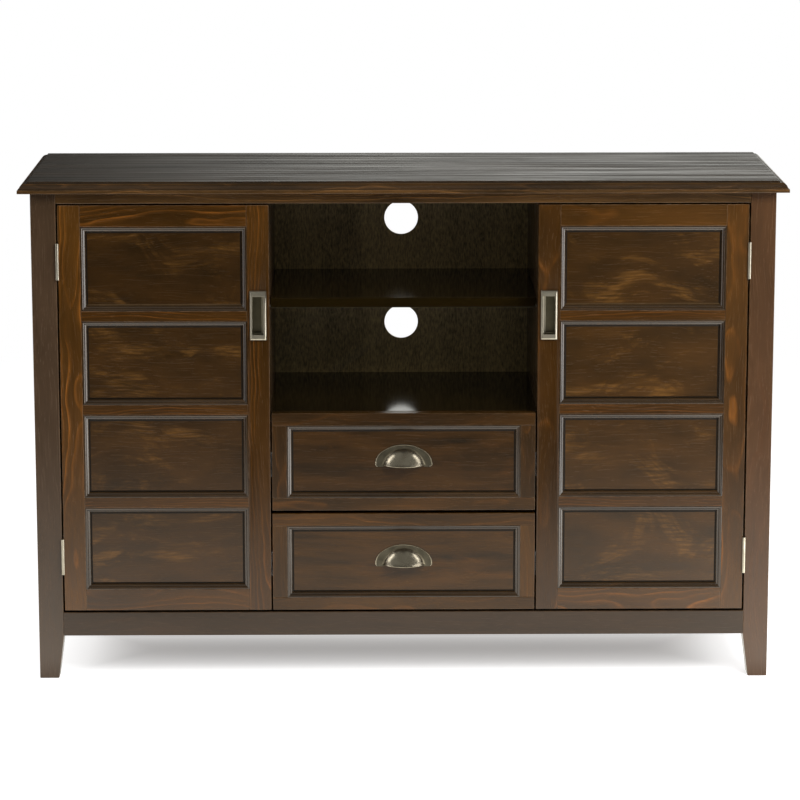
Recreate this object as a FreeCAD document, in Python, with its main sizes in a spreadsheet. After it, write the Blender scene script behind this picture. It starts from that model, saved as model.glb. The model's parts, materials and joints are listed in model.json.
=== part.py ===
import FreeCAD, Part
import os

import Sketcher

# Media stand with two panelled doors, two drawers and an open centre bay, in millimetres.
# X runs along the front, Y from the front to the back, Z up; the origin is on the floor under the middle.

SIZES = {
    # Whole stand
    "top_width": 1372,
    "top_depth": 438,
    "stand_height": 914,
    "top_thickness": 20,
    "top_overhang": 21,
    # Moulded edge of the top: a small step, a quarter round and a projecting lip
    "edge_step": 2.5,
    "edge_ledge": 2,
    "edge_round": 11,
    "edge_lip": 3,
    # Legs and rails
    "leg_width": 45,
    "foot_width": 35,
    "taper_height": 80,
    "lower_rail_height": 43.5,
    "top_rail_height": 20,
    "rear_rail_thickness": 18,
    # Case boards
    "board_thickness": 18,
    "side_thickness": 15,
    "side_inset": 6,
    "tongue": 8,
    "back_thickness": 5,
    "back_inset": 8,
    # Centre bay
    "bay_width": 482,
    "upper_bay_height": 200.5,
    "bay_shelf_setback": 62,
    "cable_hole_radius": 32,
    "cable_hole_rise": 98,
    # Loose shelves and their pins
    "cupboard_shelf_height": 500,
    "cupboard_shelf_setback": 55,
    "shelf_play": 1,
    "pin_radius": 2.5,
    "pin_length": 16,
    "pin_inset": 40,
    # Gaps round the doors and drawer fronts
    "reveal": 3,
    "sill_reveal": 4,
    "door_stop": 1,
    # Doors
    "door_thickness": 20,
    "door_stile": 39.5,
    "door_rail": 39,
    "door_mid_rail": 19,
    # Panels and the moulding round them
    "panel_recess": 8,
    "panel_thickness": 6,
    "moulding_width": 10.5,
    "bead_width": 4.6,
    "quirk_depth": 1.2,
    "moulding_toe": 1.5,
    "moulding_round": 9,
    # Hinges
    "hinge_length": 66,
    "hinge_inset": 68,
    "leaf_thickness": 1.2,
    "leaf_width": 18,
    "knuckle_radius": 3,
    "knuckle_clearance": 0.3,
    "knuckle_play": 0.2,
    "hinge_pin_radius": 1.3,
    "hinge_pin_clearance": 0.05,
    # Drawers
    "drawer_front_height": 179.5,
    "drawer_gap": 6,
    "drawer_stile": 26.5,
    "drawer_rail": 23,
    "box_wall": 12,
    "box_back_gap": 34,
    "box_height": 130,
    "box_lift": 15,
    "box_bottom_thickness": 5,
    "box_bottom_rise": 10,
    "box_groove": 6,
    # Drawer slides
    "slide_space": 13,
    "slide_height": 45,
    "slide_end_gap": 5,
    "slide_metal": 1.2,
    "slide_play": 0.3,
    # Cup pulls
    "cup_width": 104,
    "cup_height": 41.5,
    "cup_corner": 5.5,
    "cup_shoulder": 27,
    "cup_flange": 1.6,
    "cup_ear_drop": 2.5,
    "cup_dome_width": 77,
    "cup_dome_height": 32.5,
    "cup_projection": 23,
    "cup_wall": 1.8,
    "cup_lip_height": 2.4,
    "cup_lip_width": 1,
    "cup_base_rise": -10.5,
    # Door pulls
    "pull_width": 30.5,
    "pull_length": 90.5,
    "pull_projection": 6,
    "pull_draft": 0.8,
    "pull_drop": 199,
    "pull_rim": 4.3,
    "pull_end_rim": 10.5,
    "pull_pocket_depth": 12,
    "pull_pocket_slope": 5,
    "pull_pocket_end_slope": 1.5,
    "pull_socket_margin": 2,
    "pull_socket_depth": 9,
    # Door catches
    "catch_width": 14,
    "catch_height": 40,
    "catch_depth": 26,
    "catch_drop": 60,
    "strike_thickness": 1.2,
}

KNUCKLES = 3
DOOR_PANELS = 4
PIN_SIDES = 8
CUP_HOLLOW_STEPS = 3
LEFT = -1
RIGHT = 1

doc = FreeCAD.newDocument("tv_stand")
sheet = doc.addObject("Spreadsheet::Sheet", "Sizes")
parts = []


class Size:
    """A length that carries its number and the sheet formula that gives it."""

    def __init__(self, number, formula):
        self.number = float(number)
        self.formula = formula

    def __add__(self, other):
        other = as_size(other)
        return Size(self.number + other.number, f"({self.formula} + {other.formula})")

    def __sub__(self, other):
        other = as_size(other)
        return Size(self.number - other.number, f"({self.formula} - {other.formula})")

    def __mul__(self, other):
        other = as_size(other)
        return Size(self.number * other.number, f"{self.formula} * ({other.formula})")

    def __truediv__(self, other):
        other = as_size(other)
        return Size(self.number / other.number, f"{self.formula} / ({other.formula})")

    def __neg__(self):
        return self * -1


def as_size(value):
    """Takes a plain number as a size whose formula is that number."""
    if isinstance(value, Size):
        return value
    return Size(value, repr(float(value)))


def root(value):
    return Size(value.number ** 0.5, f"sqrt({value.formula})")


class SizeTable:
    """Writes the sheet, one size to a row, and keeps each size under its own name."""

    def __init__(self, numbers):
        for row, (name, number) in enumerate(numbers.items(), start=1):
            cell = f"B{row}"
            sheet.set(f"A{row}", name)
            sheet.set(cell, str(number))
            sheet.setAlias(cell, name)
            setattr(self, name, Size(number, f"Sizes.{name}"))


size = SizeTable(SIZES)
doc.recompute()


# Document helpers

def bind(item, prop, length):
    item.setExpression(prop, as_size(length).formula)


def place(item, x, y, z):
    for axis, length in zip("xyz", (x, y, z)):
        bind(item, f"Placement.Base.{axis}", length)


def part(item, name):
    """Names an object as a sub-part of the stand."""
    item.Label = name
    parts.append(item)
    return item


def board(name, x, y, z):
    """A square-edged board between the low and high ends of its x, y and z spans."""
    box = doc.addObject("Part::Box", name)
    for prop, (low, high) in zip(("Length", "Width", "Height"), (x, y, z)):
        bind(box, prop, high - low)
    place(box, x[0], y[0], z[0])
    return box


def rod(name, radius, length, centre, rotation):
    """A cylinder that starts at its centre point and runs along the turned Z axis."""
    cylinder = doc.addObject("Part::Cylinder", name)
    cylinder.Placement.Rotation = rotation
    bind(cylinder, "Radius", radius)
    bind(cylinder, "Height", length)
    place(cylinder, *centre)
    return cylinder


def ball(name, radius, centre):
    """A sphere with its poles turned away from the faces that are kept of it."""
    sphere = doc.addObject("Part::Sphere", name)
    sphere.Placement.Rotation = POLES_ASIDE
    bind(sphere, "Radius", radius)
    place(sphere, *centre)
    return sphere


def wedge(name, y, front_face, back_face):
    """A block whose front and back faces differ; a face is its x span and its z span."""
    block = doc.addObject("Part::Wedge", name)
    spans = {"Y": y, "X": front_face[0], "Z": front_face[1], "X2": back_face[0], "Z2": back_face[1]}
    for axis, (low, high) in spans.items():
        bind(block, f"{axis}min", low)
        bind(block, f"{axis}max", high)
    return block


def cut(name, base, tools):
    result = doc.addObject("Part::Cut", name)
    result.Base = base
    result.Tool = tools[0] if len(tools) == 1 else group(f"{name}_tools", tools)
    return result


def group(name, items):
    result = doc.addObject("Part::Compound", name)
    result.Links = items
    return result


def fused(name, items):
    result = doc.addObject("Part::MultiFuse", name)
    result.Shapes = items
    return result


def common(name, first, second):
    result = doc.addObject("Part::Common", name)
    result.Base = first
    result.Tool = second
    return result


def origin_feature(body, role):
    return next(item for item in body.Origin.OriginFeatures if item.Role == role)


def sketch_on(body, name, plane, offset=None):
    """An empty sketch on one of the body's own origin planes, moved along the plane's normal."""
    sketch = body.newObject("Sketcher::SketchObject", name)
    sketch.AttachmentSupport = [(origin_feature(body, plane), "")]
    sketch.MapMode = "FlatFace"
    if offset is not None:
        bind(sketch, "AttachmentOffset.Base.z", offset)
    return sketch


def draw_loop(sketch, corners):
    """Draws a closed loop. A corner is (x, y), or (x, y, radius) where an arc leads on to the next one.

    The arc's centre lies to the left of the way round, which is to the right for a negative radius.
    """
    first = sketch.GeometryCount
    count = len(corners)
    ends = []
    for index, corner in enumerate(corners):
        start = FreeCAD.Vector(corner[0].number, corner[1].number, 0)
        after = corners[(index + 1) % count]
        end = FreeCAD.Vector(after[0].number, after[1].number, 0)
        if len(corner) == 2:
            sketch.addGeometry(Part.LineSegment(start, end), False)
            ends.append((1, 2))
            continue
        radius = corner[2]
        ends.append(draw_arc(sketch, start, end, radius.number))
        sign = 1 if radius.number > 0 else -1
        constraint = sketch.addConstraint(
            Sketcher.Constraint("Radius", first + index, abs(radius.number)))
        bind(sketch, f"Constraints[{constraint}]", radius * sign)
    for index, corner in enumerate(corners):
        following = (index + 1) % count
        sketch.addConstraint(Sketcher.Constraint(
            "Coincident", first + index, ends[index][1], first + following, ends[following][0]))
        for kind, length in zip(("DistanceX", "DistanceY"), corner):
            constraint = sketch.addConstraint(
                Sketcher.Constraint(kind, -1, 1, first + index, ends[index][0], length.number))
            bind(sketch, f"Constraints[{constraint}]", length)


def draw_arc(sketch, start, end, radius):
    """Adds the short arc between two points and says which of its ends is which."""
    chord = end - start
    left = FreeCAD.Vector(-chord.y, chord.x, 0).normalize()
    reach = (radius ** 2 - (chord.Length / 2) ** 2) ** 0.5
    turn = 1 if radius > 0 else -1
    middle = (start + end) / 2
    centre = middle + left * reach * turn
    crown = centre + (middle - centre).normalize() * abs(radius)
    sketch.addGeometry(Part.Arc(start, crown, end), False)
    return (1, 2) if turn > 0 else (2, 1)


def sizes(corners):
    return [tuple(as_size(value) for value in corner) for corner in corners]


def profile(body, name, plane, loops, offset=None):
    sketch = sketch_on(body, name, plane, offset)
    for corners in loops:
        draw_loop(sketch, sizes(corners))
    return sketch


def pad(body, sketch, length, midplane=False, backward=False):
    feature = body.newObject("PartDesign::Pad", f"{sketch.Name}_pad")
    feature.Profile = sketch
    feature.Midplane = midplane
    feature.Reversed = backward
    bind(feature, "Length", length)
    return feature


def repeat_up(body, feature, pitch, count):
    """Repeats a feature up the body's Z axis."""
    row = body.newObject("PartDesign::LinearPattern", f"{feature.Name}_row")
    row.Originals = [feature]
    row.Direction = (origin_feature(body, "Z_Axis"), [""])
    bind(row, "Length", pitch * (count - 1))
    row.Occurrences = count
    body.Tip = row


def new_body(name):
    return doc.addObject("PartDesign::Body", name)


def extrusion(name, plane, loops, length, midplane=True):
    body = new_body(name)
    pad(body, profile(body, f"{name}_outline", plane, loops), length, midplane)
    return body


def about(middle, half):
    """The span that reaches half each way from its middle."""
    return (middle - half, middle + half)


def mirrored(side, low, high):
    """The low and high ends of an X span on the left or the right of the stand."""
    if side == RIGHT:
        return (low, high)
    return (-high, -low)


def reversed_x(side, corners):
    """Turns a right-hand outline into a left-hand one."""
    return [(corner[0] * side, *corner[1:]) for corner in corners]


SIDE_NAMES = {LEFT: "left", RIGHT: "right"}
ALONG_X = FreeCAD.Rotation(FreeCAD.Vector(0, 1, 0), 90)
ALONG_Y = FreeCAD.Rotation(FreeCAD.Vector(1, 0, 0), -90)
ALONG_Z = FreeCAD.Rotation()
POLES_ASIDE = FreeCAD.Rotation(FreeCAD.Vector(1, 0, 0), -45)

# Main planes of the case

front = size.top_overhang - size.top_depth / 2
back = size.top_depth / 2
leg_outer = size.top_width / 2 - size.top_overhang
leg_inner = leg_outer - size.leg_width
under_top = size.stand_height - size.top_thickness
door_back = front + size.door_thickness
case_front = door_back + size.door_stop
sill = size.taper_height + size.lower_rail_height
bay_half = size.bay_width / 2
partition_outer = bay_half + size.board_thickness
side_outer = leg_outer - size.side_inset
side_inner = side_outer - size.side_thickness
panel_back = back - size.back_inset
case_back = panel_back - size.back_thickness
drawers_bottom = sill + size.sill_reveal
bay_floor_top = drawers_bottom + size.drawer_front_height * 2 + size.drawer_gap
bay_shelf_top = under_top - size.upper_bay_height
door_bottom = sill + size.sill_reveal
door_top = under_top - size.top_rail_height - size.reveal
door_hinge_edge = leg_inner - size.reveal
panel_face = front + size.panel_recess


# Top

def top_board():
    """The board takes its shape where the front run and the side run of the edge moulding meet."""
    ledge = size.edge_lip + size.edge_round + size.edge_ledge
    crown = size.edge_lip + size.edge_round
    step = size.stand_height - size.edge_step
    lip_top = step - size.edge_round
    front_lip = -size.top_depth / 2
    side_lip = size.top_width / 2
    front_run = extrusion("top_front_run", "YZ_Plane", [[
        (front_lip, under_top),
        (back, under_top),
        (back, size.stand_height),
        (front_lip + ledge, size.stand_height),
        (front_lip + ledge, step),
        (front_lip + crown, step, size.edge_round),
        (front_lip + size.edge_lip, lip_top),
        (front_lip, lip_top),
    ]], size.top_width)
    side_run = extrusion("top_side_run", "XZ_Plane", [[
        (-side_lip, under_top),
        (side_lip, under_top),
        (side_lip, lip_top),
        (side_lip - size.edge_lip, lip_top, size.edge_round),
        (side_lip - crown, step),
        (side_lip - ledge, step),
        (side_lip - ledge, size.stand_height),
        (ledge - side_lip, size.stand_height),
        (ledge - side_lip, step),
        (crown - side_lip, step, size.edge_round),
        (size.edge_lip - side_lip, lip_top),
        (-side_lip, lip_top),
    ]], size.top_depth)
    part(common("top_board", front_run, side_run), "top_board")


# Legs, sides and rails

def side_blank(side):
    """A side panel before its pin holes, reaching into grooves in both legs."""
    return board(
        f"{SIDE_NAMES[side]}_side_blank",
        mirrored(side, side_inner, side_outer),
        (front + size.leg_width - size.tongue, back - size.leg_width + size.tongue),
        (size.taper_height, under_top))


def side_panel(side, blank, pins):
    name = f"{SIDE_NAMES[side]}_side_panel"
    part(cut(name, blank, pins), name)


def tapered_leg(outer, inner, foot):
    """One face of a leg: straight outside, and drawn in to the foot on the inside."""
    return [(outer, 0), (foot, 0), (inner, size.taper_height), (inner, under_top), (outer, under_top)]


def leg(side, at_front, groove_for):
    """A square leg whose foot tapers on both inner faces, grooved for the side panel."""
    name = f"{'front' if at_front else 'rear'}_{SIDE_NAMES[side]}_leg"
    across = reversed_x(side, tapered_leg(leg_outer, leg_inner, leg_outer - size.foot_width))
    if at_front:
        along = tapered_leg(front, front + size.leg_width, front + size.foot_width)
    else:
        along = tapered_leg(back, back - size.leg_width, back - size.foot_width)
    front_view = extrusion(f"{name}_front_view", "XZ_Plane", [across], size.top_depth)
    side_view = extrusion(f"{name}_side_view", "YZ_Plane", [along], size.top_width)
    blank = common(f"{name}_blank", front_view, side_view)
    part(cut(name, blank, [groove_for]), name)
    return blank


def front_rail(name, z):
    part(board(name, (-leg_inner, leg_inner), (front, case_front), z), name)


def rear_rail():
    part(board(
        "rear_rail", (-leg_inner, leg_inner), (case_back - size.rear_rail_thickness, case_back),
        (size.taper_height, sill - size.board_thickness)), "rear_rail")


# Case boards

def cabinet_bottom(legs):
    """The bottom board reaches the side panels and is notched round the legs."""
    blank = board(
        "cabinet_bottom_blank", (-side_inner, side_inner), (case_front, case_back),
        (sill - size.board_thickness, sill))
    part(cut("cabinet_bottom", blank, legs), "cabinet_bottom")


def partition(side, pins):
    name = f"{SIDE_NAMES[side]}_partition"
    blank = board(f"{name}_blank", mirrored(side, bay_half, partition_outer), (case_front, case_back),
                  (sill, under_top))
    part(cut(name, blank, pins), name)


def bay_floor():
    part(board("bay_floor", (-bay_half, bay_half), (case_front, case_back),
               (bay_floor_top - size.board_thickness, bay_floor_top)), "bay_floor")


def back_panel():
    holes = [
        rod(f"{level}_cable_hole", size.cable_hole_radius, size.back_thickness,
            (0, case_back, floor + size.cable_hole_rise), ALONG_Y)
        for level, floor in (("lower", bay_floor_top), ("upper", bay_shelf_top))]
    sheet_blank = board("back_panel_blank", (-leg_inner, leg_inner), (case_back, panel_back),
                        (sill - size.board_thickness, under_top))
    part(cut("back_panel", sheet_blank, holes), "back_panel")


# Loose shelves on pins

def shelf(name, x, y, top):
    part(board(name, (x[0] + size.shelf_play, x[1] - size.shelf_play), y,
               (top - size.board_thickness, top)), name)


def shelf_pin(name, wall, depth, level):
    """A many-sided peg, half in its wall and half under the shelf."""
    peg = doc.addObject("Part::Prism", name)
    peg.Polygon = PIN_SIDES
    peg.Placement.Rotation = ALONG_X
    bind(peg, "Circumradius", size.pin_radius)
    bind(peg, "Height", size.pin_length)
    place(peg, wall - size.pin_length / 2, depth, level)
    return peg


def shelf_pins(name, x, y, top):
    """Two pins at each end of a shelf, as a row for the left wall and a row for the right."""
    level = top - size.board_thickness - size.pin_radius
    return [
        [shelf_pin(f"{name}_{end}_pin_{row}", wall, depth, level)
         for row, depth in enumerate((y[0] + size.pin_inset, y[1] - size.pin_inset))]
        for end, wall in zip(("left", "right"), x)]


# Doors

def panel_moulding(name, x, z, pitch, count):
    """Mitred moulding round a column of panels: the upright and level runs meet in the corners."""
    run_end = size.panel_recess - size.moulding_toe

    def section(edge, way):
        inner = edge + size.moulding_width * way
        bead = edge + size.bead_width * way
        return [
            (edge, panel_face),
            (edge, front),
            (bead, front),
            (bead, front + size.quirk_depth, size.moulding_round * way),
            (inner, front + run_end),
            (inner, panel_face),
        ]

    upright = new_body(f"{name}_upright")
    uprights = profile(upright, f"{name}_upright_sections", "XY_Plane",
                       [section(x[0], 1), section(x[1], -1)], z[0])
    level = new_body(f"{name}_level")
    turned = [[(corner[1], corner[0], *[-radius for radius in corner[2:]]) for corner in section(edge, way)]
              for edge, way in ((z[0], 1), (z[1], -1))]
    levels = profile(level, f"{name}_level_sections", "YZ_Plane", turned, x[0])
    for body, sketch, length in ((upright, uprights, z[1] - z[0]), (level, levels, x[1] - x[0])):
        run = pad(body, sketch, length)
        if count > 1:
            repeat_up(body, run, pitch, count)
    part(fused(name, [upright, level]), name)


def door(side):
    name = f"{SIDE_NAMES[side]}_door"
    depth = (front, door_back)
    height = (door_bottom, door_top)
    inside = mirrored(side, bay_half + size.door_stile, door_hinge_edge - size.door_stile)
    rails_height = size.door_rail * 2 + size.door_mid_rail * (DOOR_PANELS - 1)
    panel_height = (door_top - door_bottom - rails_height) / DOOR_PANELS
    pitch = panel_height + size.door_mid_rail
    first = door_bottom + size.door_rail

    hinge_stile = board(f"{name}_hinge_stile",
                        mirrored(side, door_hinge_edge - size.door_stile, door_hinge_edge), depth, height)
    part(hinge_stile, f"{name}_hinge_stile")
    stile_blank = board(f"{name}_pull_stile_blank",
                        mirrored(side, bay_half, bay_half + size.door_stile), depth, height)
    pull_tub = door_pull(side)
    part(cut(f"{name}_pull_stile", stile_blank, [pull_tub]), f"{name}_pull_stile")

    end_rails = [
        board(f"{name}_{end}_rail", inside, depth, z)
        for end, z in (("bottom", (door_bottom, first)), ("top", (door_top - size.door_rail, door_top)))]
    part(group(f"{name}_end_rails", end_rails), f"{name}_end_rails")
    mid_rails = []
    panels = []
    for index in range(DOOR_PANELS):
        low = first + pitch * index
        high = low + panel_height
        panels.append(board(f"{name}_panel_{index}", inside, (panel_face, panel_face + size.panel_thickness),
                            (low, high)))
        if index:
            mid_rails.append(board(f"{name}_mid_rail_{index}", inside, depth, (low - size.door_mid_rail, low)))
    part(group(f"{name}_mid_rails", mid_rails), f"{name}_mid_rails")
    part(group(f"{name}_panels", panels), f"{name}_panels")
    panel_moulding(f"{name}_mouldings", inside, (first, first + panel_height), pitch, DOOR_PANELS)


def door_pull(side):
    """A raised rectangular pull let into the stile, with a finger pocket; returns the tub that fills the wood."""
    name = f"{SIDE_NAMES[side]}_door_pull"
    centre = (bay_half + size.door_stile / 2) * side
    middle = door_top - size.pull_drop
    half_width = size.pull_width / 2
    half_length = size.pull_length / 2
    face = front - size.pull_projection

    def outline(inset):
        return (about(centre, half_width - inset), about(middle, half_length - inset))

    plate = wedge(f"{name}_plate", (face, front), outline(size.pull_draft), outline(0))
    tub = board(f"{name}_tub", outline(size.pull_socket_margin)[0], (front, front + size.pull_socket_depth),
                outline(size.pull_socket_margin)[1])

    mouth_width = half_width - size.pull_rim
    mouth_length = half_length - size.pull_end_rim
    floor_x = mirrored(side, size.pull_pocket_slope - mouth_width, mouth_width)
    floor_x = (centre + floor_x[0], centre + floor_x[1])
    pocket = wedge(
        f"{name}_pocket", (face, face + size.pull_pocket_depth),
        (about(centre, mouth_width), about(middle, mouth_length)),
        (floor_x, about(middle, mouth_length - size.pull_pocket_end_slope)))
    part(cut(name, fused(f"{name}_blank", [plate, tub]), [pocket]), name)
    return tub


# Butt hinges

hinge_axis_y = front - size.knuckle_radius - size.knuckle_clearance
hinge_starts = (
    door_bottom + size.hinge_inset,
    door_top - size.hinge_inset - size.hinge_length,
)


def hinge_leaf(name, side, start, plate_x, knuckle_indexes, bore):
    """A flat leaf in the gap beside the door, with its knuckles rolled round the pin in front."""
    axis_x = (leg_inner - size.reveal / 2) * side
    pitch = size.hinge_length / KNUCKLES
    pieces = [board(f"{name}_plate", plate_x, (front, front + size.leaf_width),
                    (start, start + size.hinge_length))]
    for index in knuckle_indexes:
        low = start + pitch * index + size.knuckle_play / 2
        high = low + pitch - size.knuckle_play
        pieces.append(board(f"{name}_web_{index}", plate_x, (hinge_axis_y, front), (low, high)))
        pieces.append(rod(f"{name}_knuckle_{index}", size.knuckle_radius, high - low,
                          (axis_x, hinge_axis_y, low), ALONG_Z))
    hole = rod(f"{name}_bore", bore, size.hinge_length, (axis_x, hinge_axis_y, start), ALONG_Z)
    leaf = cut(name, fused(f"{name}_blank", pieces), [hole])
    leaf.Refine = True
    return leaf


def hinges():
    frame_leaves = []
    pins = []
    for side in (LEFT, RIGHT):
        side_name = SIDE_NAMES[side]
        leg_plate = mirrored(side, leg_inner - size.leaf_thickness, leg_inner)
        door_plate = mirrored(side, door_hinge_edge, door_hinge_edge + size.leaf_thickness)
        door_leaves = []
        for level, start in zip(("lower", "upper"), hinge_starts):
            frame_leaves.append(hinge_leaf(f"{side_name}_{level}_frame_leaf", side, start, leg_plate,
                                           range(0, KNUCKLES, 2), size.hinge_pin_radius))
            door_leaves.append(hinge_leaf(f"{side_name}_{level}_door_leaf", side, start, door_plate,
                                          range(1, KNUCKLES, 2),
                                          size.hinge_pin_radius + size.hinge_pin_clearance))
            pins.append(rod(f"{side_name}_{level}_hinge_pin", size.hinge_pin_radius, size.hinge_length,
                            ((leg_inner - size.reveal / 2) * side, hinge_axis_y, start), ALONG_Z))
        part(group(f"{side_name}_door_hinge_leaves", door_leaves), f"{side_name}_door_hinge_leaves")
    part(group("frame_hinge_leaves", frame_leaves), "frame_hinge_leaves")
    part(group("hinge_pins", pins), "hinge_pins")


# Catches

def catches():
    """Magnetic catches beside the partitions, each facing a strike plate on the back of its door."""
    housings = []
    top = door_top - size.catch_drop
    height = (top - size.catch_height, top)
    strike_back = door_back + size.strike_thickness
    for side in (LEFT, RIGHT):
        side_name = SIDE_NAMES[side]
        across = mirrored(side, partition_outer, partition_outer + size.catch_width)
        housings.append(board(f"{side_name}_catch", across, (strike_back, strike_back + size.catch_depth), height))
        strike = board(f"{side_name}_door_strike", across, (door_back, strike_back), height)
        part(strike, f"{side_name}_door_strike")
    part(group("door_catches", housings), "door_catches")


# Drawers

front_half = bay_half - size.reveal
box_half = bay_half - size.slide_space
box_back = case_back - size.box_back_gap


def drawer(name, bottom):
    top = bottom + size.drawer_front_height
    depth = (front, door_back)
    rail_tops = (bottom + size.drawer_rail, top - size.drawer_rail)
    inside = (size.drawer_stile - front_half, front_half - size.drawer_stile)
    rails = [
        board(f"{name}_bottom_rail", (-front_half, front_half), depth, (bottom, rail_tops[0])),
        board(f"{name}_top_rail", (-front_half, front_half), depth, (rail_tops[1], top))]
    part(group(f"{name}_front_rails", rails), f"{name}_front_rails")
    stiles = [
        board(f"{name}_{SIDE_NAMES[side]}_stile", mirrored(side, inside[1], front_half), depth, rail_tops)
        for side in (LEFT, RIGHT)]
    part(group(f"{name}_front_stiles", stiles), f"{name}_front_stiles")
    part(board(f"{name}_front_panel", inside, (panel_face, panel_face + size.panel_thickness), rail_tops),
         f"{name}_front_panel")
    panel_moulding(f"{name}_moulding", inside, rail_tops, size.drawer_front_height, 1)
    cup_pull(f"{name}_pull", (bottom + top) / 2 + size.cup_base_rise)
    drawer_box(name, bottom + size.box_lift)


def drawer_box(name, bottom):
    """Four walls grooved for a thin bottom, and a slide channel on each side."""
    height = (bottom, bottom + size.box_height)
    inner = box_half - size.box_wall
    groove = inner + size.box_groove
    bottom_low = bottom + size.box_bottom_rise
    wall_inset = size.box_wall - size.box_groove
    panel = board(f"{name}_box_bottom", (-groove, groove), (door_back + wall_inset, box_back - wall_inset),
                  (bottom_low, bottom_low + size.box_bottom_thickness))
    part(panel, f"{name}_box_bottom")
    sides = [
        cut(f"{name}_{SIDE_NAMES[side]}_wall",
            board(f"{name}_{SIDE_NAMES[side]}_wall_blank", mirrored(side, inner, box_half),
                  (door_back, box_back), height), [panel])
        for side in (LEFT, RIGHT)]
    part(group(f"{name}_box_sides", sides), f"{name}_box_sides")
    ends = [
        cut(f"{name}_{end}_wall", board(f"{name}_{end}_wall_blank", (-inner, inner), y, height), [panel])
        for end, y in (("front", (door_back, door_back + size.box_wall)),
                       ("back", (box_back - size.box_wall, box_back)))]
    part(group(f"{name}_box_ends", ends), f"{name}_box_ends")


def slide_channel(name, side, web, lip, middle, height, start):
    """A pressed metal channel along Y: a web against the wood and two flanges."""
    inward = 1 if lip.number > web.number else -1
    inner_web = web + size.slide_metal * inward
    low = middle - height / 2
    high = middle + height / 2
    section = [
        (web, low), (lip, low), (lip, low + size.slide_metal), (inner_web, low + size.slide_metal),
        (inner_web, high - size.slide_metal), (lip, high - size.slide_metal), (lip, high), (web, high)]
    body = new_body(name)
    outline = profile(body, f"{name}_section", "XZ_Plane", [reversed_x(side, section)], -start)
    pad(body, outline, box_back - size.slide_end_gap - start, backward=True)
    return body


def drawer_slides(names, bottoms):
    """Each drawer channel runs inside the channel on its partition."""
    start = door_back + size.slide_end_gap
    drawer_height = size.slide_height - (size.slide_metal + size.slide_play) * 2
    flange_reach = size.slide_metal + size.slide_play
    case_channels = []
    for name, bottom in zip(names, bottoms):
        middle = bottom + size.box_lift + size.box_height / 2
        drawer_channels = []
        for side in (LEFT, RIGHT):
            label = f"{name}_{SIDE_NAMES[side]}"
            case_channels.append(slide_channel(f"{label}_case_channel", side, bay_half, box_half + flange_reach,
                                               middle, size.slide_height, start))
            drawer_channels.append(slide_channel(f"{label}_drawer_channel", side, box_half,
                                                 bay_half - flange_reach, middle, drawer_height, start))
        part(group(f"{name}_slide_channels", drawer_channels), f"{name}_slide_channels")
    part(group("case_slide_channels", case_channels), "case_slide_channels")


# Cup pulls

def cup_pull(name, base):
    """A thin dome cut from a ball whose middle lies behind the panel, open below, on a flat arched flange."""
    flange = cup_flange(f"{name}_flange")
    place(flange, 0, panel_face, base)

    half = size.cup_width / 2
    dome_half = size.cup_dome_width / 2
    height = size.cup_dome_height
    lip_radius = (dome_half * dome_half + size.cup_projection * size.cup_projection) / (size.cup_projection * 2)
    behind = lip_radius - size.cup_projection
    below = (dome_half * dome_half - height * height) / (height * 2)
    lip = base + size.cup_ear_drop
    centre = (0, panel_face + behind, lip - below)
    radius = root(lip_radius * lip_radius + below * below)
    rim = rod(f"{name}_rim", lip_radius + size.cup_lip_width, size.cup_lip_height,
              (0, panel_face + behind, lip), ALONG_Z)
    room = board(f"{name}_room", (-half, half), (panel_face - size.cup_projection * 2, panel_face),
                 (lip, base + size.cup_height))
    dome = common(f"{name}_dome", fused(f"{name}_ball_and_rim", [ball(f"{name}_ball", radius, centre), rim]), room)
    hollow = cup_hollow(f"{name}_hollow", radius - size.cup_wall, dome_half - size.cup_wall)
    place(hollow, *centre)
    part(cut(name, fused(f"{name}_blank", [flange, dome]), [hollow]), name)


def cup_flange(name):
    """The flat plate behind the dome: rounded feet, then two shoulder arcs that run into one wide crown arc."""
    half = size.cup_width / 2
    corner = size.cup_corner
    shoulder = size.cup_shoulder
    rise = size.cup_height - corner
    reach = half - shoulder
    crown = (reach * reach + rise * rise - shoulder * shoulder) / ((rise - shoulder) * 2)
    stretch = crown / (crown - shoulder)
    blend_x = reach * stretch
    blend_z = size.cup_height - crown + (crown - rise) * stretch
    body = new_body(name)
    outline = profile(body, f"{name}_outline", "XZ_Plane", [[
        (corner - half, 0),
        (half - corner, 0, corner),
        (half, corner, shoulder),
        (blend_x, blend_z, crown),
        (-blend_x, blend_z, shoulder),
        (-half, corner, corner),
    ]])
    pad(body, outline, size.cup_flange)
    return body


def cup_hollow(name, radius, half):
    """The space inside a dome: short cones turned about X whose corners keep the wall's thickness."""
    steps = range(-CUP_HOLLOW_STEPS, CUP_HOLLOW_STEPS + 1)
    across = [half * step / CUP_HOLLOW_STEPS for step in steps]
    corners = [(x, -root(radius * radius - x * x)) for x in across]
    body = new_body(name)
    section = profile(body, f"{name}_section", "XY_Plane", [corners + [(half, 0), (-half, 0)]])
    turn = body.newObject("PartDesign::Revolution", f"{name}_turn")
    turn.Profile = section
    turn.ReferenceAxis = (section, ["H_Axis"])
    turn.Angle = 360
    return body


# Assembly

top_board()
side_blanks = {side: side_blank(side) for side in (LEFT, RIGHT)}
leg_blanks = [leg(side, at_front, side_blanks[side]) for at_front in (True, False) for side in (LEFT, RIGHT)]
front_rail("front_top_rail", (under_top - size.top_rail_height, under_top))
front_rail("front_lower_rail", (size.taper_height, sill))
rear_rail()
cabinet_bottom(leg_blanks)
bay_floor()
back_panel()

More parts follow.
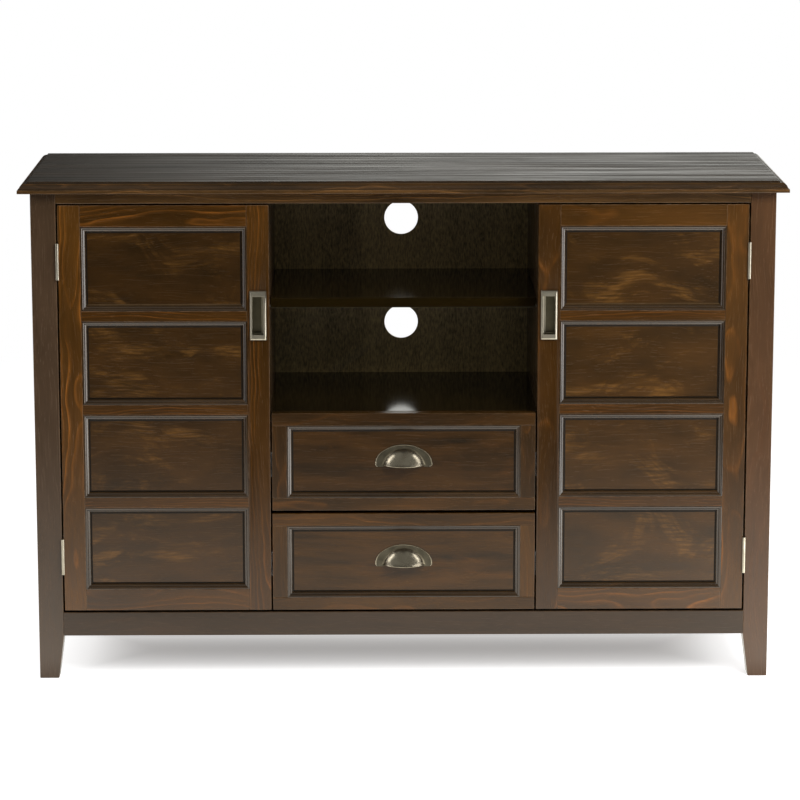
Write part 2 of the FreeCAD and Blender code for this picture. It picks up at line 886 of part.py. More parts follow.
bay_depth = (front + size.bay_shelf_setback, case_back - size.shelf_play)
cupboard_depth = (front + size.cupboard_shelf_setback, back - size.cupboard_shelf_setback)
bay_walls = (-bay_half, bay_half)
shelf("bay_shelf", bay_walls, bay_depth, bay_shelf_top)
bay_pins = shelf_pins("bay_shelf", bay_walls, bay_depth, bay_shelf_top)
all_pins = bay_pins[0] + bay_pins[1]
for side, near_bay in ((LEFT, bay_pins[0]), (RIGHT, bay_pins[1])):
    shelf_name = f"{SIDE_NAMES[side]}_cupboard_shelf"
    walls = mirrored(side, partition_outer, side_inner)
    shelf(shelf_name, walls, cupboard_depth, size.cupboard_shelf_height)
    pin_rows = shelf_pins(shelf_name, walls, cupboard_depth, size.cupboard_shelf_height)
    inner_row, outer_row = pin_rows[::side]
    partition(side, near_bay + inner_row)
    side_panel(side, side_blanks[side], outer_row)
    all_pins += inner_row + outer_row
part(group("shelf_pins", all_pins), "shelf_pins")

for side in (LEFT, RIGHT):
    door(side)
hinges()
catches()

drawer_names = ("lower_drawer", "upper_drawer")
drawer_bottoms = (drawers_bottom, drawers_bottom + size.drawer_front_height + size.drawer_gap)
for drawer_name, drawer_bottom in zip(drawer_names, drawer_bottoms):
    drawer(drawer_name, drawer_bottom)
drawer_slides(drawer_names, drawer_bottoms)

doc.recompute()

failed = [item.Name for item in doc.Objects if "Invalid" in item.State or "Error" in item.State]
failed += [item.Label for item in parts if item.Shape.isNull() or not item.Shape.isValid()]
if failed:
    raise RuntimeError("These pieces did not build: " + ", ".join(failed))

os.makedirs("parts", exist_ok=True)
for item in parts:
    item.Shape.exportStep(f"parts/{item.Label}.step")
print(len(parts), "pieces written")
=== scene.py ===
import json
import math
import random
import zlib
from types import SimpleNamespace
from typing import NamedTuple

import bmesh
import bpy
from mathutils import Matrix, Vector


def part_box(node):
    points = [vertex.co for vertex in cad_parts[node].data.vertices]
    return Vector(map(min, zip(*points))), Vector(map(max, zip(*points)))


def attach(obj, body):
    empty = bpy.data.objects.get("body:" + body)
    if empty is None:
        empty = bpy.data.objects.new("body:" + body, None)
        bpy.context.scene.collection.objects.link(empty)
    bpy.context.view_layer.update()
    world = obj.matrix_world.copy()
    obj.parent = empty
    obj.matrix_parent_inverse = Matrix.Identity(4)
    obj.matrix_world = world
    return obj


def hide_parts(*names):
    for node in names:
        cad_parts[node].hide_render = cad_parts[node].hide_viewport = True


# Looks of the media stand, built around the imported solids. Lengths are in metres unless a name says mm.

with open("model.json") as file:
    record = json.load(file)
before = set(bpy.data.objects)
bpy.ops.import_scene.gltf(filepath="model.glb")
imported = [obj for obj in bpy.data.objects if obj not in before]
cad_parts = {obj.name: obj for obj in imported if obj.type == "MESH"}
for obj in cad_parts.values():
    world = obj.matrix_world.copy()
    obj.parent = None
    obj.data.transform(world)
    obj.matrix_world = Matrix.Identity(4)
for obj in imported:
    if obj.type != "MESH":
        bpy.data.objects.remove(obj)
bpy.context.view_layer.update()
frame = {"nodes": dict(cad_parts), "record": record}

MM = 0.001
AXES = range(3)
X, Y, Z = AXES
AXIS_NAMES = "XYZ"
NODES = frame["nodes"]
BODIES = frame["record"]["behaviour"]["bodies"]
BODY_OF = {node: body for body, members in BODIES.items() for node in members}
SLOT_OF = {row["node"]: row["material_slot"] for row in frame["record"]["subparts"]}


# Meshes

WELD = 1e-6
FLAT_ANGLE = math.radians(1)
SHARP_ANGLE = math.radians(35)
FACET_ANGLE = math.radians(20)
EDGE_SEGMENTS = 2
PULL_EDGE_REACH = 1.5 * MM
PULL_INNER_WEIGHT = 0.12


def welded(node):
    """A copy of a CAD node's mesh with its split corners joined and its flat faces whole again."""
    work = bmesh.new()
    work.from_mesh(NODES[node].data)
    bmesh.ops.remove_doubles(work, verts=work.verts[:], dist=WELD)
    bmesh.ops.dissolve_limit(work, angle_limit=FLAT_ANGLE, verts=work.verts[:], edges=work.edges[:])
    mesh = bpy.data.meshes.new(node)
    work.to_mesh(mesh)
    work.free()
    return mesh


def islands(mesh):
    """For each face, the number of the separate solid that it belongs to."""
    parent = list(range(len(mesh.vertices)))

    def root(vertex):
        while parent[vertex] != vertex:
            parent[vertex] = parent[parent[vertex]]
            vertex = parent[vertex]
        return vertex

    for edge in mesh.edges:
        first, second = edge.vertices
        parent[root(first)] = root(second)
    order = {}
    return [order.setdefault(root(face.vertices[0]), len(order)) for face in mesh.polygons]


def box_of(points):
    """Lowest and highest corners of a list of points."""
    return tuple(Vector([pick(point[axis] for point in points) for axis in AXES]) for pick in (min, max))


def island_boxes(mesh, numbers):
    """Lowest and highest corners of each separate solid of a mesh."""
    corners = {}
    for face, number in zip(mesh.polygons, numbers):
        corners.setdefault(number, []).extend(mesh.vertices[index].co for index in face.vertices)
    return [box_of(points) for number, points in sorted(corners.items())]


def solid_boxes(node):
    """Lowest and highest corners of each separate solid of a CAD node, from the lowest solid up."""
    mesh = welded(node)
    return sorted(island_boxes(mesh, islands(mesh)), key=lambda box: box[0][Z])


def face_values(mesh, name, values):
    """Writes one value to each face."""
    mesh.attributes.new(name, "FLOAT", "FACE").data.foreach_set("value", values)


def weigh_outer_edges(mesh):
    """Full rounding for the outer edges of a pull's face and a slight one for its other sharp edges."""
    low, high = box_of([vertex.co for vertex in mesh.vertices])

    def on_face_edge(vertex):
        sides = [abs(vertex.co[axis] - end[axis]) < PULL_EDGE_REACH for axis in (X, Z) for end in (low, high)]
        return vertex.co[Y] - low[Y] < WELD and any(sides)

    outer = [on_face_edge(vertex) for vertex in mesh.vertices]
    weights = [1.0 if all(outer[index] for index in edge.vertices) else PULL_INNER_WEIGHT
               for edge in mesh.edges]
    mesh.attributes.new("bevel_weight_edge", "FLOAT", "EDGE").data.foreach_set("value", weights)


def eased(piece, width, segments):
    """Rounds a piece's sharp edges, marks the faces of the rounding as edge and leaves the flats flat."""
    rounding = piece.modifiers.new("rounding", "BEVEL")
    rounding.width = width
    rounding.segments = segments
    weighed = "bevel_weight_edge" in piece.data.attributes
    rounding.limit_method = "WEIGHT" if weighed else "ANGLE"
    rounding.angle_limit = SHARP_ANGLE
    rounding.material = 1
    depsgraph = bpy.context.evaluated_depsgraph_get()
    shape = bpy.data.meshes.new_from_object(
        piece.evaluated_get(depsgraph), preserve_all_data_layers=True, depsgraph=depsgraph)
    piece.modifiers.clear()
    piece.data = shape
    on_edge = [face.material_index for face in shape.polygons]
    face_values(shape, "edge", on_edge)
    shape.polygons.foreach_set("material_index", [0] * len(shape.polygons))
    shape.materials.pop()
    shape.shade_smooth()
    shape.set_sharp_from_angle(angle=FACET_ANGLE)
    if segments > EDGE_SEGMENTS:
        shape.polygons.foreach_set("use_smooth", on_edge)


def finished_mesh(work, name):
    """Turns a bmesh into a mesh with its faces outward and smooth except at sharp edges."""
    bmesh.ops.recalc_face_normals(work, faces=work.faces[:])
    mesh = bpy.data.meshes.new(name)
    work.to_mesh(mesh)
    work.free()
    mesh.shade_smooth()
    mesh.set_sharp_from_angle(angle=SHARP_ANGLE)
    return mesh


def linked(name, data):
    """A new object in the scene."""
    made = bpy.data.objects.new(name, data)
    bpy.context.scene.collection.objects.link(made)
    return made


def skin(work, points, looped=False):
    """Faces over rows of points: round closed rows with a cap at each end, or over open rows in a loop."""
    rows = [[work.verts.new(point) for point in row] for row in points]
    count = len(rows[0])
    faces = []
    for first, second in zip(rows, rows[1:] + rows[:1] if looped else rows[1:]):
        for index in range(count - 1 if looped else count):
            after = (index + 1) % count
            faces.append(work.faces.new([first[index], first[after], second[after], second[index]]))
    caps = () if looped else (rows[0], rows[-1])
    return faces + [work.faces.new(cap) for cap in caps]


# Boards

GRAIN_REACH = 4.0
HEART_SPREAD = 0.6
HEART_DEPTH = (0.03, 0.09)
BOARD_TONE = {
    "left_door_hinge_stile": 1.4,
    "right_door_hinge_stile": 1.25,
    "left_door_pull_stile": 0.97,
    "right_door_pull_stile": 0.8,
    "right_door_end_rails": 1.25,
    "right_door_mid_rails": 0.85,
    "left_door_panels": (1.28, 1.2, 1.12, 0.93),
    "right_door_panels": (1.55, 1.52, 1.45, 1.2),
    "upper_drawer_front_rails": (0.95, 0.7),
    "upper_drawer_front_stiles": 0.76,
    "upper_drawer_front_panel": 0.73,
    "lower_drawer_front_rails": 0.98,
    "lower_drawer_front_stiles": 1.12,
    "lower_drawer_front_panel": 1.0,
    "front_top_rail": 1.3,
    "front_lower_rail": 0.74,
    # Painted shade on the bay's floor, on top of its darker stain.
    "bay_floor": 0.8,
    # Painted light: the right front leg is set lighter.
    "front_right_leg": 1.12,
}


def vary_boards(mesh, seed_name, axis):
    """Sets where the tree's heart lay for each separate board, as a shift to it, and the board's tone."""
    numbers = islands(mesh)
    draw = random.Random(zlib.crc32(seed_name.encode()))
    shifts = []
    for low, high in island_boxes(mesh, numbers):
        size = high - low
        wide, thin = sorted((other for other in AXES if other != axis), key=lambda other: -size[other])
        shift = -(low + high) / 2
        shift[axis] += draw.uniform(-GRAIN_REACH, GRAIN_REACH)
        shift[wide] += draw.uniform(-HEART_SPREAD, HEART_SPREAD) * size[wide]
        shift[thin] += draw.uniform(*HEART_DEPTH)
        shifts.append(shift)
    layer = mesh.attributes.new("board", "FLOAT_VECTOR", "FACE")
    layer.data.foreach_set("vector", [part for number in numbers for part in shifts[number]])
    face_values(mesh, "tone", board_tones(mesh, seed_name, numbers))


def board_tones(mesh, node, numbers):
    """How light each face's board is; a tuple holds the tones of a node's boards from the lowest up."""
    tone = BOARD_TONE.get(node, 1.0)
    if not isinstance(tone, tuple):
        return [tone] * len(numbers)
    boxes = island_boxes(mesh, numbers)
    rank = sorted(range(len(boxes)), key=lambda number: boxes[number][0][Z])
    tones = {number: tone[place] for place, number in enumerate(rank)}
    return [tones[number] for number in numbers]


def add_piece(name, mesh, node, materials):
    """A piece that stands for a CAD node and moves with its body."""
    piece = linked(name, mesh)
    for material in materials:
        mesh.materials.append(material)
    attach(piece, BODY_OF[node])
    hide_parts(node)
    return piece


def dress(node):
    """Replaces a CAD node by the same shape with eased edges."""
    material, axis = finish_of(node)
    width_mm, segments = ease_of(node)
    piece = add_piece(f"{node}.dressed", welded(node), node, [material, material])
    if node.endswith("_door_pull"):
        weigh_outer_edges(piece.data)
    eased(piece, width_mm * MM, segments)
    vary_boards(piece.data, node, axis)
    return piece


# Shader graphs

MIX_FACTOR, MIX_FIRST, MIX_SECOND, MIX_RESULT = 0, 6, 7, 2
NOISE_MEAN = (0.5, 0.5, 0.5)
NOISE_SPAN = (0.3, 0.7)


class Layer(NamedTuple):
    """A noise: its features per metre along and across the grain, and how fine and rough its detail is."""

    along: float
    across: float
    detail: float = 2.0
    roughness: float = 0.5


class Graph:
    """Adds shader nodes to one material or world; an input is a constant or another node's output."""

    def __init__(self, owner):
        owner.use_nodes = True
        self.tree = owner.node_tree
        self.tree.nodes.clear()

    def node(self, kind, inputs=None, **settings):
        made = self.tree.nodes.new("ShaderNode" + kind)
        for name, value in settings.items():
            setattr(made, name, value)
        for name, value in (inputs or {}).items():
            self.feed(made.inputs[name], value)
        return made

    def feed(self, socket, value):
        if isinstance(value, bpy.types.NodeSocket):
            self.tree.links.new(value, socket)
        else:
            socket.default_value = value

    def math(self, operation, *values):
        return self.node("Math", dict(enumerate(values)), operation=operation).outputs[0]

    def plus(self, first, second):
        return self.math("ADD", first, second)

    def times(self, first, second):
        return self.math("MULTIPLY", first, second)

    def vector(self, operation, *values):
        made = self.node("VectorMath", dict(enumerate(values)), operation=operation)
        return made.outputs["Value" if operation == "LENGTH" else "Vector"]

    def attribute(self, name, output="Fac"):
        return self.node("Attribute", attribute_name=name).outputs[output]

    def grain(self, place, axis, layer, output="Fac"):
        """A noise with its own size along and across the grain."""
        scale = [layer.across] * 3
        scale[axis] = layer.along
        made = self.node("TexNoise", {"Vector": self.vector("MULTIPLY", place, scale), "Scale": 1.0,
                                      "Detail": layer.detail, "Roughness": layer.roughness})
        return made.outputs[output]

    def span(self, value, low, high, new_low=0.0, new_high=1.0, smooth=False):
        made = self.node("MapRange", {"Value": value, "From Min": low, "From Max": high,
                                      "To Min": new_low, "To Max": new_high}, clamp=True)
        if smooth:
            made.interpolation_type = "SMOOTHSTEP"
        return made.outputs["Result"]

    def fade(self, value, *ramp):
        return self.span(value, *ramp, smooth=True)

    def ramp(self, value, stops):
        made = self.node("ValToRGB", {"Fac": value})
        elements = made.color_ramp.elements
        while len(elements) < len(stops):
            elements.new(1.0)
        for element, (position, level) in zip(elements, stops):
            element.position = position
            element.color = (level, level, level, 1.0)
        return made.outputs["Color"]

    def blend(self, factor, first, second, mode="MIX"):
        made = self.node("Mix", data_type="RGBA", blend_type=mode)
        for index, value in ((MIX_FACTOR, factor), (MIX_FIRST, first), (MIX_SECOND, second)):
            self.feed(made.inputs[index], value)
        return made.outputs[MIX_RESULT]

    def weighed(self, first, second, shares):
        """The sum of two values times their shares."""
        return self.plus(self.times(first, shares[0]), self.times(second, shares[1]))

    def shift(self, place, amount, reach):
        """The place moved by a noise colour about its middle."""
        centred = self.vector("SUBTRACT", amount, NOISE_MEAN)
        return self.vector("ADD", place, self.vector("MULTIPLY", centred, reach))

    def bump(self, height, strength, distance):
        made = self.node("Bump", {"Height": height, "Strength": strength, "Distance": distance})
        return made.outputs["Normal"]

    def light(self, kind, colour, strength):
        """A glow: Emission for a surface, Background for a world."""
        return self.node(kind, {"Color": colour, "Strength": strength}).outputs[0]

    def mixed(self, factor, first, second):
        return self.node("MixShader", {0: factor, 1: first, 2: second}).outputs[0]

    def surface(self, inputs):
        self.output(self.node("BsdfPrincipled", inputs).outputs["BSDF"])

    def output(self, shader):
        self.node("OutputMaterial", {"Surface": shader})


def srgb(red, green, blue):
    """A display colour, 0 to 255, as the linear colour that a shader takes."""
    def linear(level):
        share = level / 255
        return share / 12.92 if share <= 0.04045 else ((share + 0.055) / 1.055) ** 2.4
    return (linear(red), linear(green), linear(blue), 1.0)


def new_material(name):
    """A material, its graph, and object coordinates moved for each board by its own shift."""
    material = bpy.data.materials.new(name)
    graph = Graph(material)
    place = graph.node("TexCoord").outputs["Object"]
    return material, graph, graph.vector("ADD", place, graph.attribute("board", "Vector"))


def across_only(axis, reach):
    """A reach that leaves the grain's own direction alone."""
    reaches = [reach] * 3
    reaches[axis] = 0.0
    return reaches


# Wood

LATEWOOD = ((0.0, 0.0), (0.45, 0.02), (0.72, 0.35), (0.88, 1.0), (1.0, 0.0))
YEAR_SPAN = (0.25, 0.9)
SWAY = Layer(3.4, 7.0, detail=3.0, roughness=0.45)
SWAY_REACH = 0.045
PATCH = Layer(5.0, 26.0, detail=3.0, roughness=0.6)
FLECK = Layer(15.0, 190.0, detail=3.0)
FLECK_SPAN = (0.42, 0.6)
DRIFT = Layer(4.0, 4.0, detail=1.0)
DRIFT_REACH = 0.3
CLUSTER = Layer(3.0, 21.0, detail=5.0, roughness=0.66)
CLUSTER_SPAN = (0.5, 0.7)
DASH = Layer(17.0, 260.0)
DASH_SPAN = (0.4, 0.64)
DASH_SHARES = (0.15, 1.0)
CLOUD_DETAIL = 4.0
CLOUD_ROUGHNESS = 0.55
FIBRE = Layer(11.0, 480.0, detail=3.0, roughness=0.6)
FIBRE_STOPS = (0.25, 0.75)
RELIEF_SHARES = (0.8, 0.2)
GRAIN_DEPTH = 0.4 * MM
PORE = Layer(26.0, 1100.0, detail=1.0)
PORE_SPAN = (0.6, 0.75)
PORE_SHARE = 0.4
RUB = Layer(60.0, 60.0, detail=3.0)
RUB_SPAN = (0.38, 0.7)
BAND = Layer(1.5, 65.0, detail=3.0, roughness=0.7)
BAND_SPAN = (0.38, 0.62)


class Look(NamedTuple):
    """How a wood shows under its stain."""

    ring: float = 0.011  # from one ring to the next
    figure: float = 0.8  # strength of the light late wood
    patchy: tuple = (0.36, 0.62)  # span over which the figure fades in
    flecked: float = 0.5  # how far flecks break the figure up
    wispy: float = 0.0  # strength of the wisps
    clouds: tuple = (3.0, 17.0)  # per metre along and across the grain
    lines: tuple = (0.8, 1.18)  # darkest and lightest fibre
    gloss: tuple = (0.17, 0.3)  # least and most roughness
    sheen_bands: float = 0.0  # added roughness of the dull bands
    relief: float = 0.05  # strength of the bump
    ior: float = 1.5
    specular: float = 0.5


def stain(dark, middle, light, worn=(108, 82, 56)):
    """The colours of a stained wood: its ground, its clouds, its light figure and its rubbed edges."""
    return SimpleNamespace(dark=srgb(*dark), middle=srgb(*middle), light=srgb(*light), worn=srgb(*worn))


def late_wood(graph, swayed, axis, look):
    """The late wood of the rings about the tree's heart, and the streaks of it that stay light."""
    radius = graph.vector("LENGTH", graph.vector("MULTIPLY", swayed, across_only(axis, 1.0)))
    phase = graph.math("DIVIDE", radius, look.ring)
    late = graph.ramp(graph.math("FRACT", phase), LATEWOOD)
    number = graph.math("FLOOR", phase)
    year = graph.node("TexWhiteNoise", {"W": number}, noise_dimensions="1D").outputs["Value"]
    patch = graph.fade(graph.grain(swayed, axis, PATCH), *look.patchy)
    fleck = graph.span(graph.grain(swayed, axis, FLECK), *FLECK_SPAN, 1.0 - look.flecked, 1.0)
    streak = graph.times(graph.times(late, graph.span(year, *YEAR_SPAN)), graph.times(patch, fleck))
    return late, streak


def wisps(graph, place, swayed, axis):
    """Clusters of short light dashes."""
    drift = graph.grain(place, axis, DRIFT, "Color")
    drifted = graph.shift(place, drift, across_only(axis, DRIFT_REACH))
    cluster = graph.fade(graph.grain(drifted, axis, CLUSTER), *CLUSTER_SPAN)
    dash = graph.span(graph.grain(swayed, axis, DASH), *DASH_SPAN, *DASH_SHARES)
    return graph.times(cluster, dash)


def figured(graph, swayed, axis, colours, look, lit):
    """The stain's clouds and the figure that stays light on them."""
    clouds = Layer(*look.clouds, CLOUD_DETAIL, CLOUD_ROUGHNESS)
    cloud = graph.span(graph.grain(swayed, axis, clouds), *NOISE_SPAN)
    ground = graph.blend(cloud, colours.dark, colours.middle)
    return graph.blend(lit, ground, colours.light)


def weathered(graph, place, axis, colours, colour):
    """A colour rubbed lighter along the eased edges and multiplied by the face's tone, which is the board's
    own tone, with painted shade and highlight on the top's edge.
    """
    rub = graph.span(graph.grain(place, axis, RUB), *RUB_SPAN)
    rubbed = graph.blend(graph.times(graph.attribute("edge"), rub), colour, colours.worn)
    return graph.blend(1.0, rubbed, graph.attribute("tone"), "MULTIPLY")


def wood(name, axis, colours, **settings):
    """Stained softwood with rings, wisps, fibres, pores and worn edges."""
    look = Look(**settings)
    material, graph, place = new_material(f"{name}_{AXIS_NAMES[axis]}")
    swayed = graph.shift(place, graph.grain(place, axis, SWAY, "Color"), across_only(axis, SWAY_REACH))
    late, streak = late_wood(graph, swayed, axis, look)
    wisp = wisps(graph, place, swayed, axis)
    lit = graph.math("MAXIMUM", graph.times(streak, look.figure), graph.times(wisp, look.wispy))
    fibre = graph.grain(swayed, axis, FIBRE)
    lines = graph.ramp(fibre, tuple(zip(FIBRE_STOPS, look.lines)))
    lined = graph.blend(1.0, figured(graph, swayed, axis, colours, look, lit), lines, "MULTIPLY")
    pore = graph.span(graph.grain(swayed, axis, PORE), *PORE_SPAN)
    pored = graph.blend(graph.times(pore, PORE_SHARE), lined, colours.dark)
    band = graph.span(graph.grain(place, axis, BAND), *BAND_SPAN, 0.0, look.sheen_bands)
    dull = graph.plus(graph.span(fibre, *NOISE_SPAN, *look.gloss), band)
    height = graph.weighed(fibre, late, RELIEF_SHARES)
    graph.surface({"Base Color": weathered(graph, place, axis, colours, pored), "Roughness": dull,
                   "IOR": look.ior, "Specular IOR Level": look.specular,
                   "Normal": graph.bump(height, look.relief, GRAIN_DEPTH)})
    return material


def woods(name, colours, **settings):
    """The same wood with its grain along each axis."""
    return [wood(name, axis, colours, **settings) for axis in AXES]


# Veneer, metal and plastic

VENEER_DETAIL = 3.0
VENEER_ROUGHNESS = 0.65
VENEER_BAND = Layer(1.2, 16.0)
VENEER_SHARES = (0.7, 0.3)
VENEER_SPAN = (0.36, 0.64)
VENEER_GLOSS = (0.42, 0.6)
VENEER_RELIEF = 0.2
BRUSH = Layer(30.0, 900.0)
TARNISH = Layer(70.0, 70.0, detail=4.0)
TARNISH_SPAN = (0.35, 0.7)
METAL_SHARES = (0.6, 0.4)
METAL_RELIEF = 0.05
GRIT = Layer(1800.0, 1800.0)
PLASTIC_GLOSS = (0.4, 0.55)
PLASTIC_RELIEF = 0.15
FINE_DEPTH = 0.2 * MM


def veneer(name, axis, dark, light, pores=(95.0, 330.0)):
    """Plain board veneer with short open pores."""
    material, graph, place = new_material(f"{name}_{AXIS_NAMES[axis]}")
    fleck = graph.grain(place, axis, Layer(*pores, VENEER_DETAIL, VENEER_ROUGHNESS))
    band = graph.grain(place, axis, VENEER_BAND)
    tone = graph.span(graph.weighed(fleck, band, VENEER_SHARES), *VENEER_SPAN)
    graph.surface({"Base Color": graph.blend(tone, srgb(*dark), srgb(*light)),
                   "Roughness": graph.span(fleck, *NOISE_SPAN, *VENEER_GLOSS),
                   "Normal": graph.bump(fleck, VENEER_RELIEF, GRAIN_DEPTH)})
    return material


def metal(name, axis, colour, shade, gloss):
    """Plated metal with a fine brushed finish and slightly darker, duller patches."""
    material, graph, place = new_material(name)
    stroke = graph.grain(place, axis, BRUSH)
    tarnish = graph.span(graph.grain(place, axis, TARNISH), *TARNISH_SPAN)
    dull = graph.weighed(stroke, tarnish, METAL_SHARES)
    graph.surface({"Base Color": graph.blend(tarnish, srgb(*colour), srgb(*shade)), "Metallic": 1.0,
                   "Roughness": graph.span(dull, *NOISE_SPAN, *gloss),
                   "Normal": graph.bump(stroke, METAL_RELIEF, FINE_DEPTH)})
    return material


def plastic(name, colour, shade):
    """Moulded plastic with a faint spark-eroded texture."""
    material, graph, place = new_material(name)
    grit = graph.grain(place, X, GRIT)
    graph.surface({"Base Color": graph.blend(grit, srgb(*colour), srgb(*shade)),
                   "Roughness": graph.span(grit, *NOISE_SPAN, *PLASTIC_GLOSS),
                   "Normal": graph.bump(grit, PLASTIC_RELIEF, FINE_DEPTH)})
    return material


# Finishes

DOOR_STAIN = stain((54, 33, 6), (82, 51, 13), (150, 90, 28))
MOULDING_STAIN = stain((40, 27, 12), (62, 43, 20), (96, 62, 26))
# Painted shade: a near-black stain for the strip at the foot of each moulding, where the moulding's shadow
# falls on the panel.
CORNER_SHADE_STAIN = stain((16, 10, 3), (22, 14, 5), (30, 18, 6))
# Painted highlight: a lighter stain for the moulding's foot under a door's top panel, where its upper edge
# catches the light from above.
FOOT_HIGHLIGHT_STAIN = stain((62, 46, 26), (84, 64, 40), (96, 74, 48))
PANEL_STAIN = stain((44, 29, 10), (64, 41, 14), (126, 86, 36))
DRAWER_STAIN = stain((44, 29, 8), (84, 54, 18), (134, 82, 28))
FRAME_STAIN = stain((66, 50, 34), (84, 64, 46), (108, 74, 46))
# Painted light: a warmer copy of the frame's stain for the right front leg, made lighter for the light from
# the right.
RIGHT_LIT_STAIN = stain((72, 48, 27), (92, 62, 37), (118, 72, 38))
TOP_STAIN = stain((46, 32, 15), (90, 63, 32), (158, 108, 54), worn=(96, 70, 42))
# Painted shade: the flat of the top takes a stain darker than its edge, for how dark it looks seen at a low
# angle.
SHADED_TOP_FACE_STAIN = stain((30, 23, 15), (50, 38, 25), (74, 54, 32))
# Painted shade: the boards inside the open bay take a darker stain for the shade in the recess.
BAY_SHADE_STAIN = stain((24, 17, 4), (36, 26, 7), (58, 36, 10), worn=(36, 26, 8))
PINE = stain((196, 160, 112), (212, 178, 130), (178, 130, 78), worn=(218, 190, 148))
FINE_RING = 0.0052

door_wood = woods("door_wood", DOOR_STAIN, ring=FINE_RING, figure=0.72, patchy=(0.3, 0.6), flecked=0.3)
moulding_wood = woods("moulding_wood", MOULDING_STAIN, figure=0.3, gloss=(0.1, 0.17), relief=0.03, ior=1.65)
# Painted shade along the foot of the mouldings, dark and with little shine.
corner_shade_wood = wood("painted_corner_shade", X, CORNER_SHADE_STAIN, figure=0.0, gloss=(0.4, 0.5), specular=0.2)
# Painted highlight on the moulding's foot under a door's top panel.
foot_highlight_wood = wood("painted_foot_highlight", X, FOOT_HIGHLIGHT_STAIN, figure=0.0)
panel_wood = wood("panel_wood", X, PANEL_STAIN, figure=0.0, wispy=0.5, clouds=(8.0, 22.0), lines=(0.9, 1.1),
                  specular=0.45)
drawer_wood = woods("drawer_wood", DRAWER_STAIN, ring=FINE_RING, figure=0.5, patchy=(0.36, 0.66), flecked=0.3,
                    specular=0.38)
drawer_panel_wood = wood("drawer_panel_wood", X, DRAWER_STAIN, figure=0.0, wispy=0.2, clouds=(5.0, 46.0),
                         lines=(0.86, 1.14), specular=0.38)
frame_wood = woods("frame_wood", FRAME_STAIN, figure=0.15, flecked=0.0)
rail_wood = wood("rail_wood", X, FRAME_STAIN, figure=0.15, flecked=0.0, specular=0.36)
# Painted light on the right front leg.
right_lit_wood = wood("right_lit_wood", Z, RIGHT_LIT_STAIN, figure=0.15, flecked=0.0)
top_wood = woods("top_wood", TOP_STAIN, ring=FINE_RING, figure=0.7, patchy=(0.32, 0.62))
# Painted shade on the flat of the top; its bands lie in the roughness.
shaded_top_face_wood = wood("shaded_top_face_wood", X, SHADED_TOP_FACE_STAIN, figure=0.5, gloss=(0.26, 0.36), sheen_bands=0.24,
                     relief=0.1)
# Painted shade on the bay's shelf and floor.
shaded_bay_wood = woods("shaded_bay_wood", BAY_SHADE_STAIN, figure=0.4, gloss=(0.06, 0.12), relief=0.03)
pine = woods("drawer_pine", PINE, figure=0.8, gloss=(0.45, 0.6))
back_veneer = veneer("back_veneer", Z, (94, 77, 35), (186, 160, 102))
bare_board = veneer("bare_board", Z, (104, 78, 52), (148, 116, 82), pores=(14.0, 420.0))
nickel = metal("satin_nickel", Z, (192, 186, 170), (174, 167, 150), (0.34, 0.44))
dull_nickel = metal("dull_nickel", Z, (214, 208, 192), (200, 193, 176), (0.6, 0.7))
# Painted shade: a darker nickel for the pocket of a door pull.
pocket_shade_nickel = metal("painted_pocket_shade", Z, (126, 120, 98), (110, 104, 84), (0.3, 0.4))
pewter = metal("pewter", X, (164, 156, 138), (144, 135, 118), (0.2, 0.3))
# Painted shade: a darker, duller pewter for the fillet between the dome and the flange.
fillet_shade_pewter = metal("fillet_shade_pewter", X, (132, 124, 105), (112, 104, 87), (0.34, 0.46))
patina = metal("pewter_patina", X, (98, 93, 80), (70, 66, 56), (0.4, 0.55))
zinc = metal("zinc_plate", Y, (198, 200, 202), (172, 175, 180), (0.38, 0.52))
catch_brown = plastic("catch_plastic", (78, 56, 40), (66, 47, 33))

UPRIGHT = ("_leg", "_stile", "_stiles", "_side_panel", "_partition")
# The right front leg takes the warmer, lighter copy of the frame's stain, as painted light.
OWN_WOOD = {"front_lower_rail": (rail_wood, X), "front_right_leg": (right_lit_wood, Z)}
PLAIN_FINISH = {
    "back_veneer": (back_veneer, Z),
    "satin_nickel": (nickel, Z),
    "pewter": (pewter, X),
    "zinc_steel": (zinc, Y),
    "catch_plastic": (catch_brown, Z),
}


def wood_of(node):
    """The stain of a piece of the cabinet: the doors and drawer fronts are livelier than the frame."""
    if "_door_" in node:
        return door_wood
    if "_drawer_" in node:
        return drawer_wood
    # The bay's shelf and floor take painted shade.
    if node in ("bay_shelf", "bay_floor"):
        return shaded_bay_wood
    return top_wood if node in ("top_board", "front_top_rail") else frame_wood


def finish_of(node):
    """The material of a CAD node and the way its grain runs."""
    slot = SLOT_OF[node]
    if node in OWN_WOOD:
        return OWN_WOOD[node]
    if node.endswith("_door_panels"):
        return panel_wood, X
    if node.endswith("_front_panel"):
        return drawer_panel_wood, X
    if slot == "stained_wood":
        axis = Z if node.endswith(UPRIGHT) else X
        return wood_of(node)[axis], axis
    if slot == "drawer_wood":
        axis = Y if node.endswith("_box_sides") else X
        return pine[axis], axis
    return PLAIN_FINISH[slot]


# Panel mouldings. Points of the section are (inward from the frame's edge, back from the front plane), and an
# arc of it has a start, an end, a radius and a count of steps.

BEAD_MM = ((0.1, 0.5), (4.6, 2.6), 4.0, 10)
QUIRK_MM = (4.9, 3.1)
OVOLO_MM = ((5.1, 2.7), (9.1, 6.5), 9.0, 12)
TOE_MM = (9.4, 7.5)
# End of the strip of painted shade that runs from the toe along the panel.
SHADE_STRIP_END_MM = (12.0, 7.9)
OUTER_BACK_MM = (0.1, 8.0)
INNER_BACK_MM = (12.0, 8.0)
# Material slots of a moulding: the level runs, the upright runs, a foot of painted shade and a foot of
# painted highlight.
LEVEL_RUN, UPRIGHT_RUN, PAINTED_SHADE_FOOT, PAINTED_HIGHLIGHT_FOOT = range(4)
BOTTOM_SIDE = 0
SIDES = 4


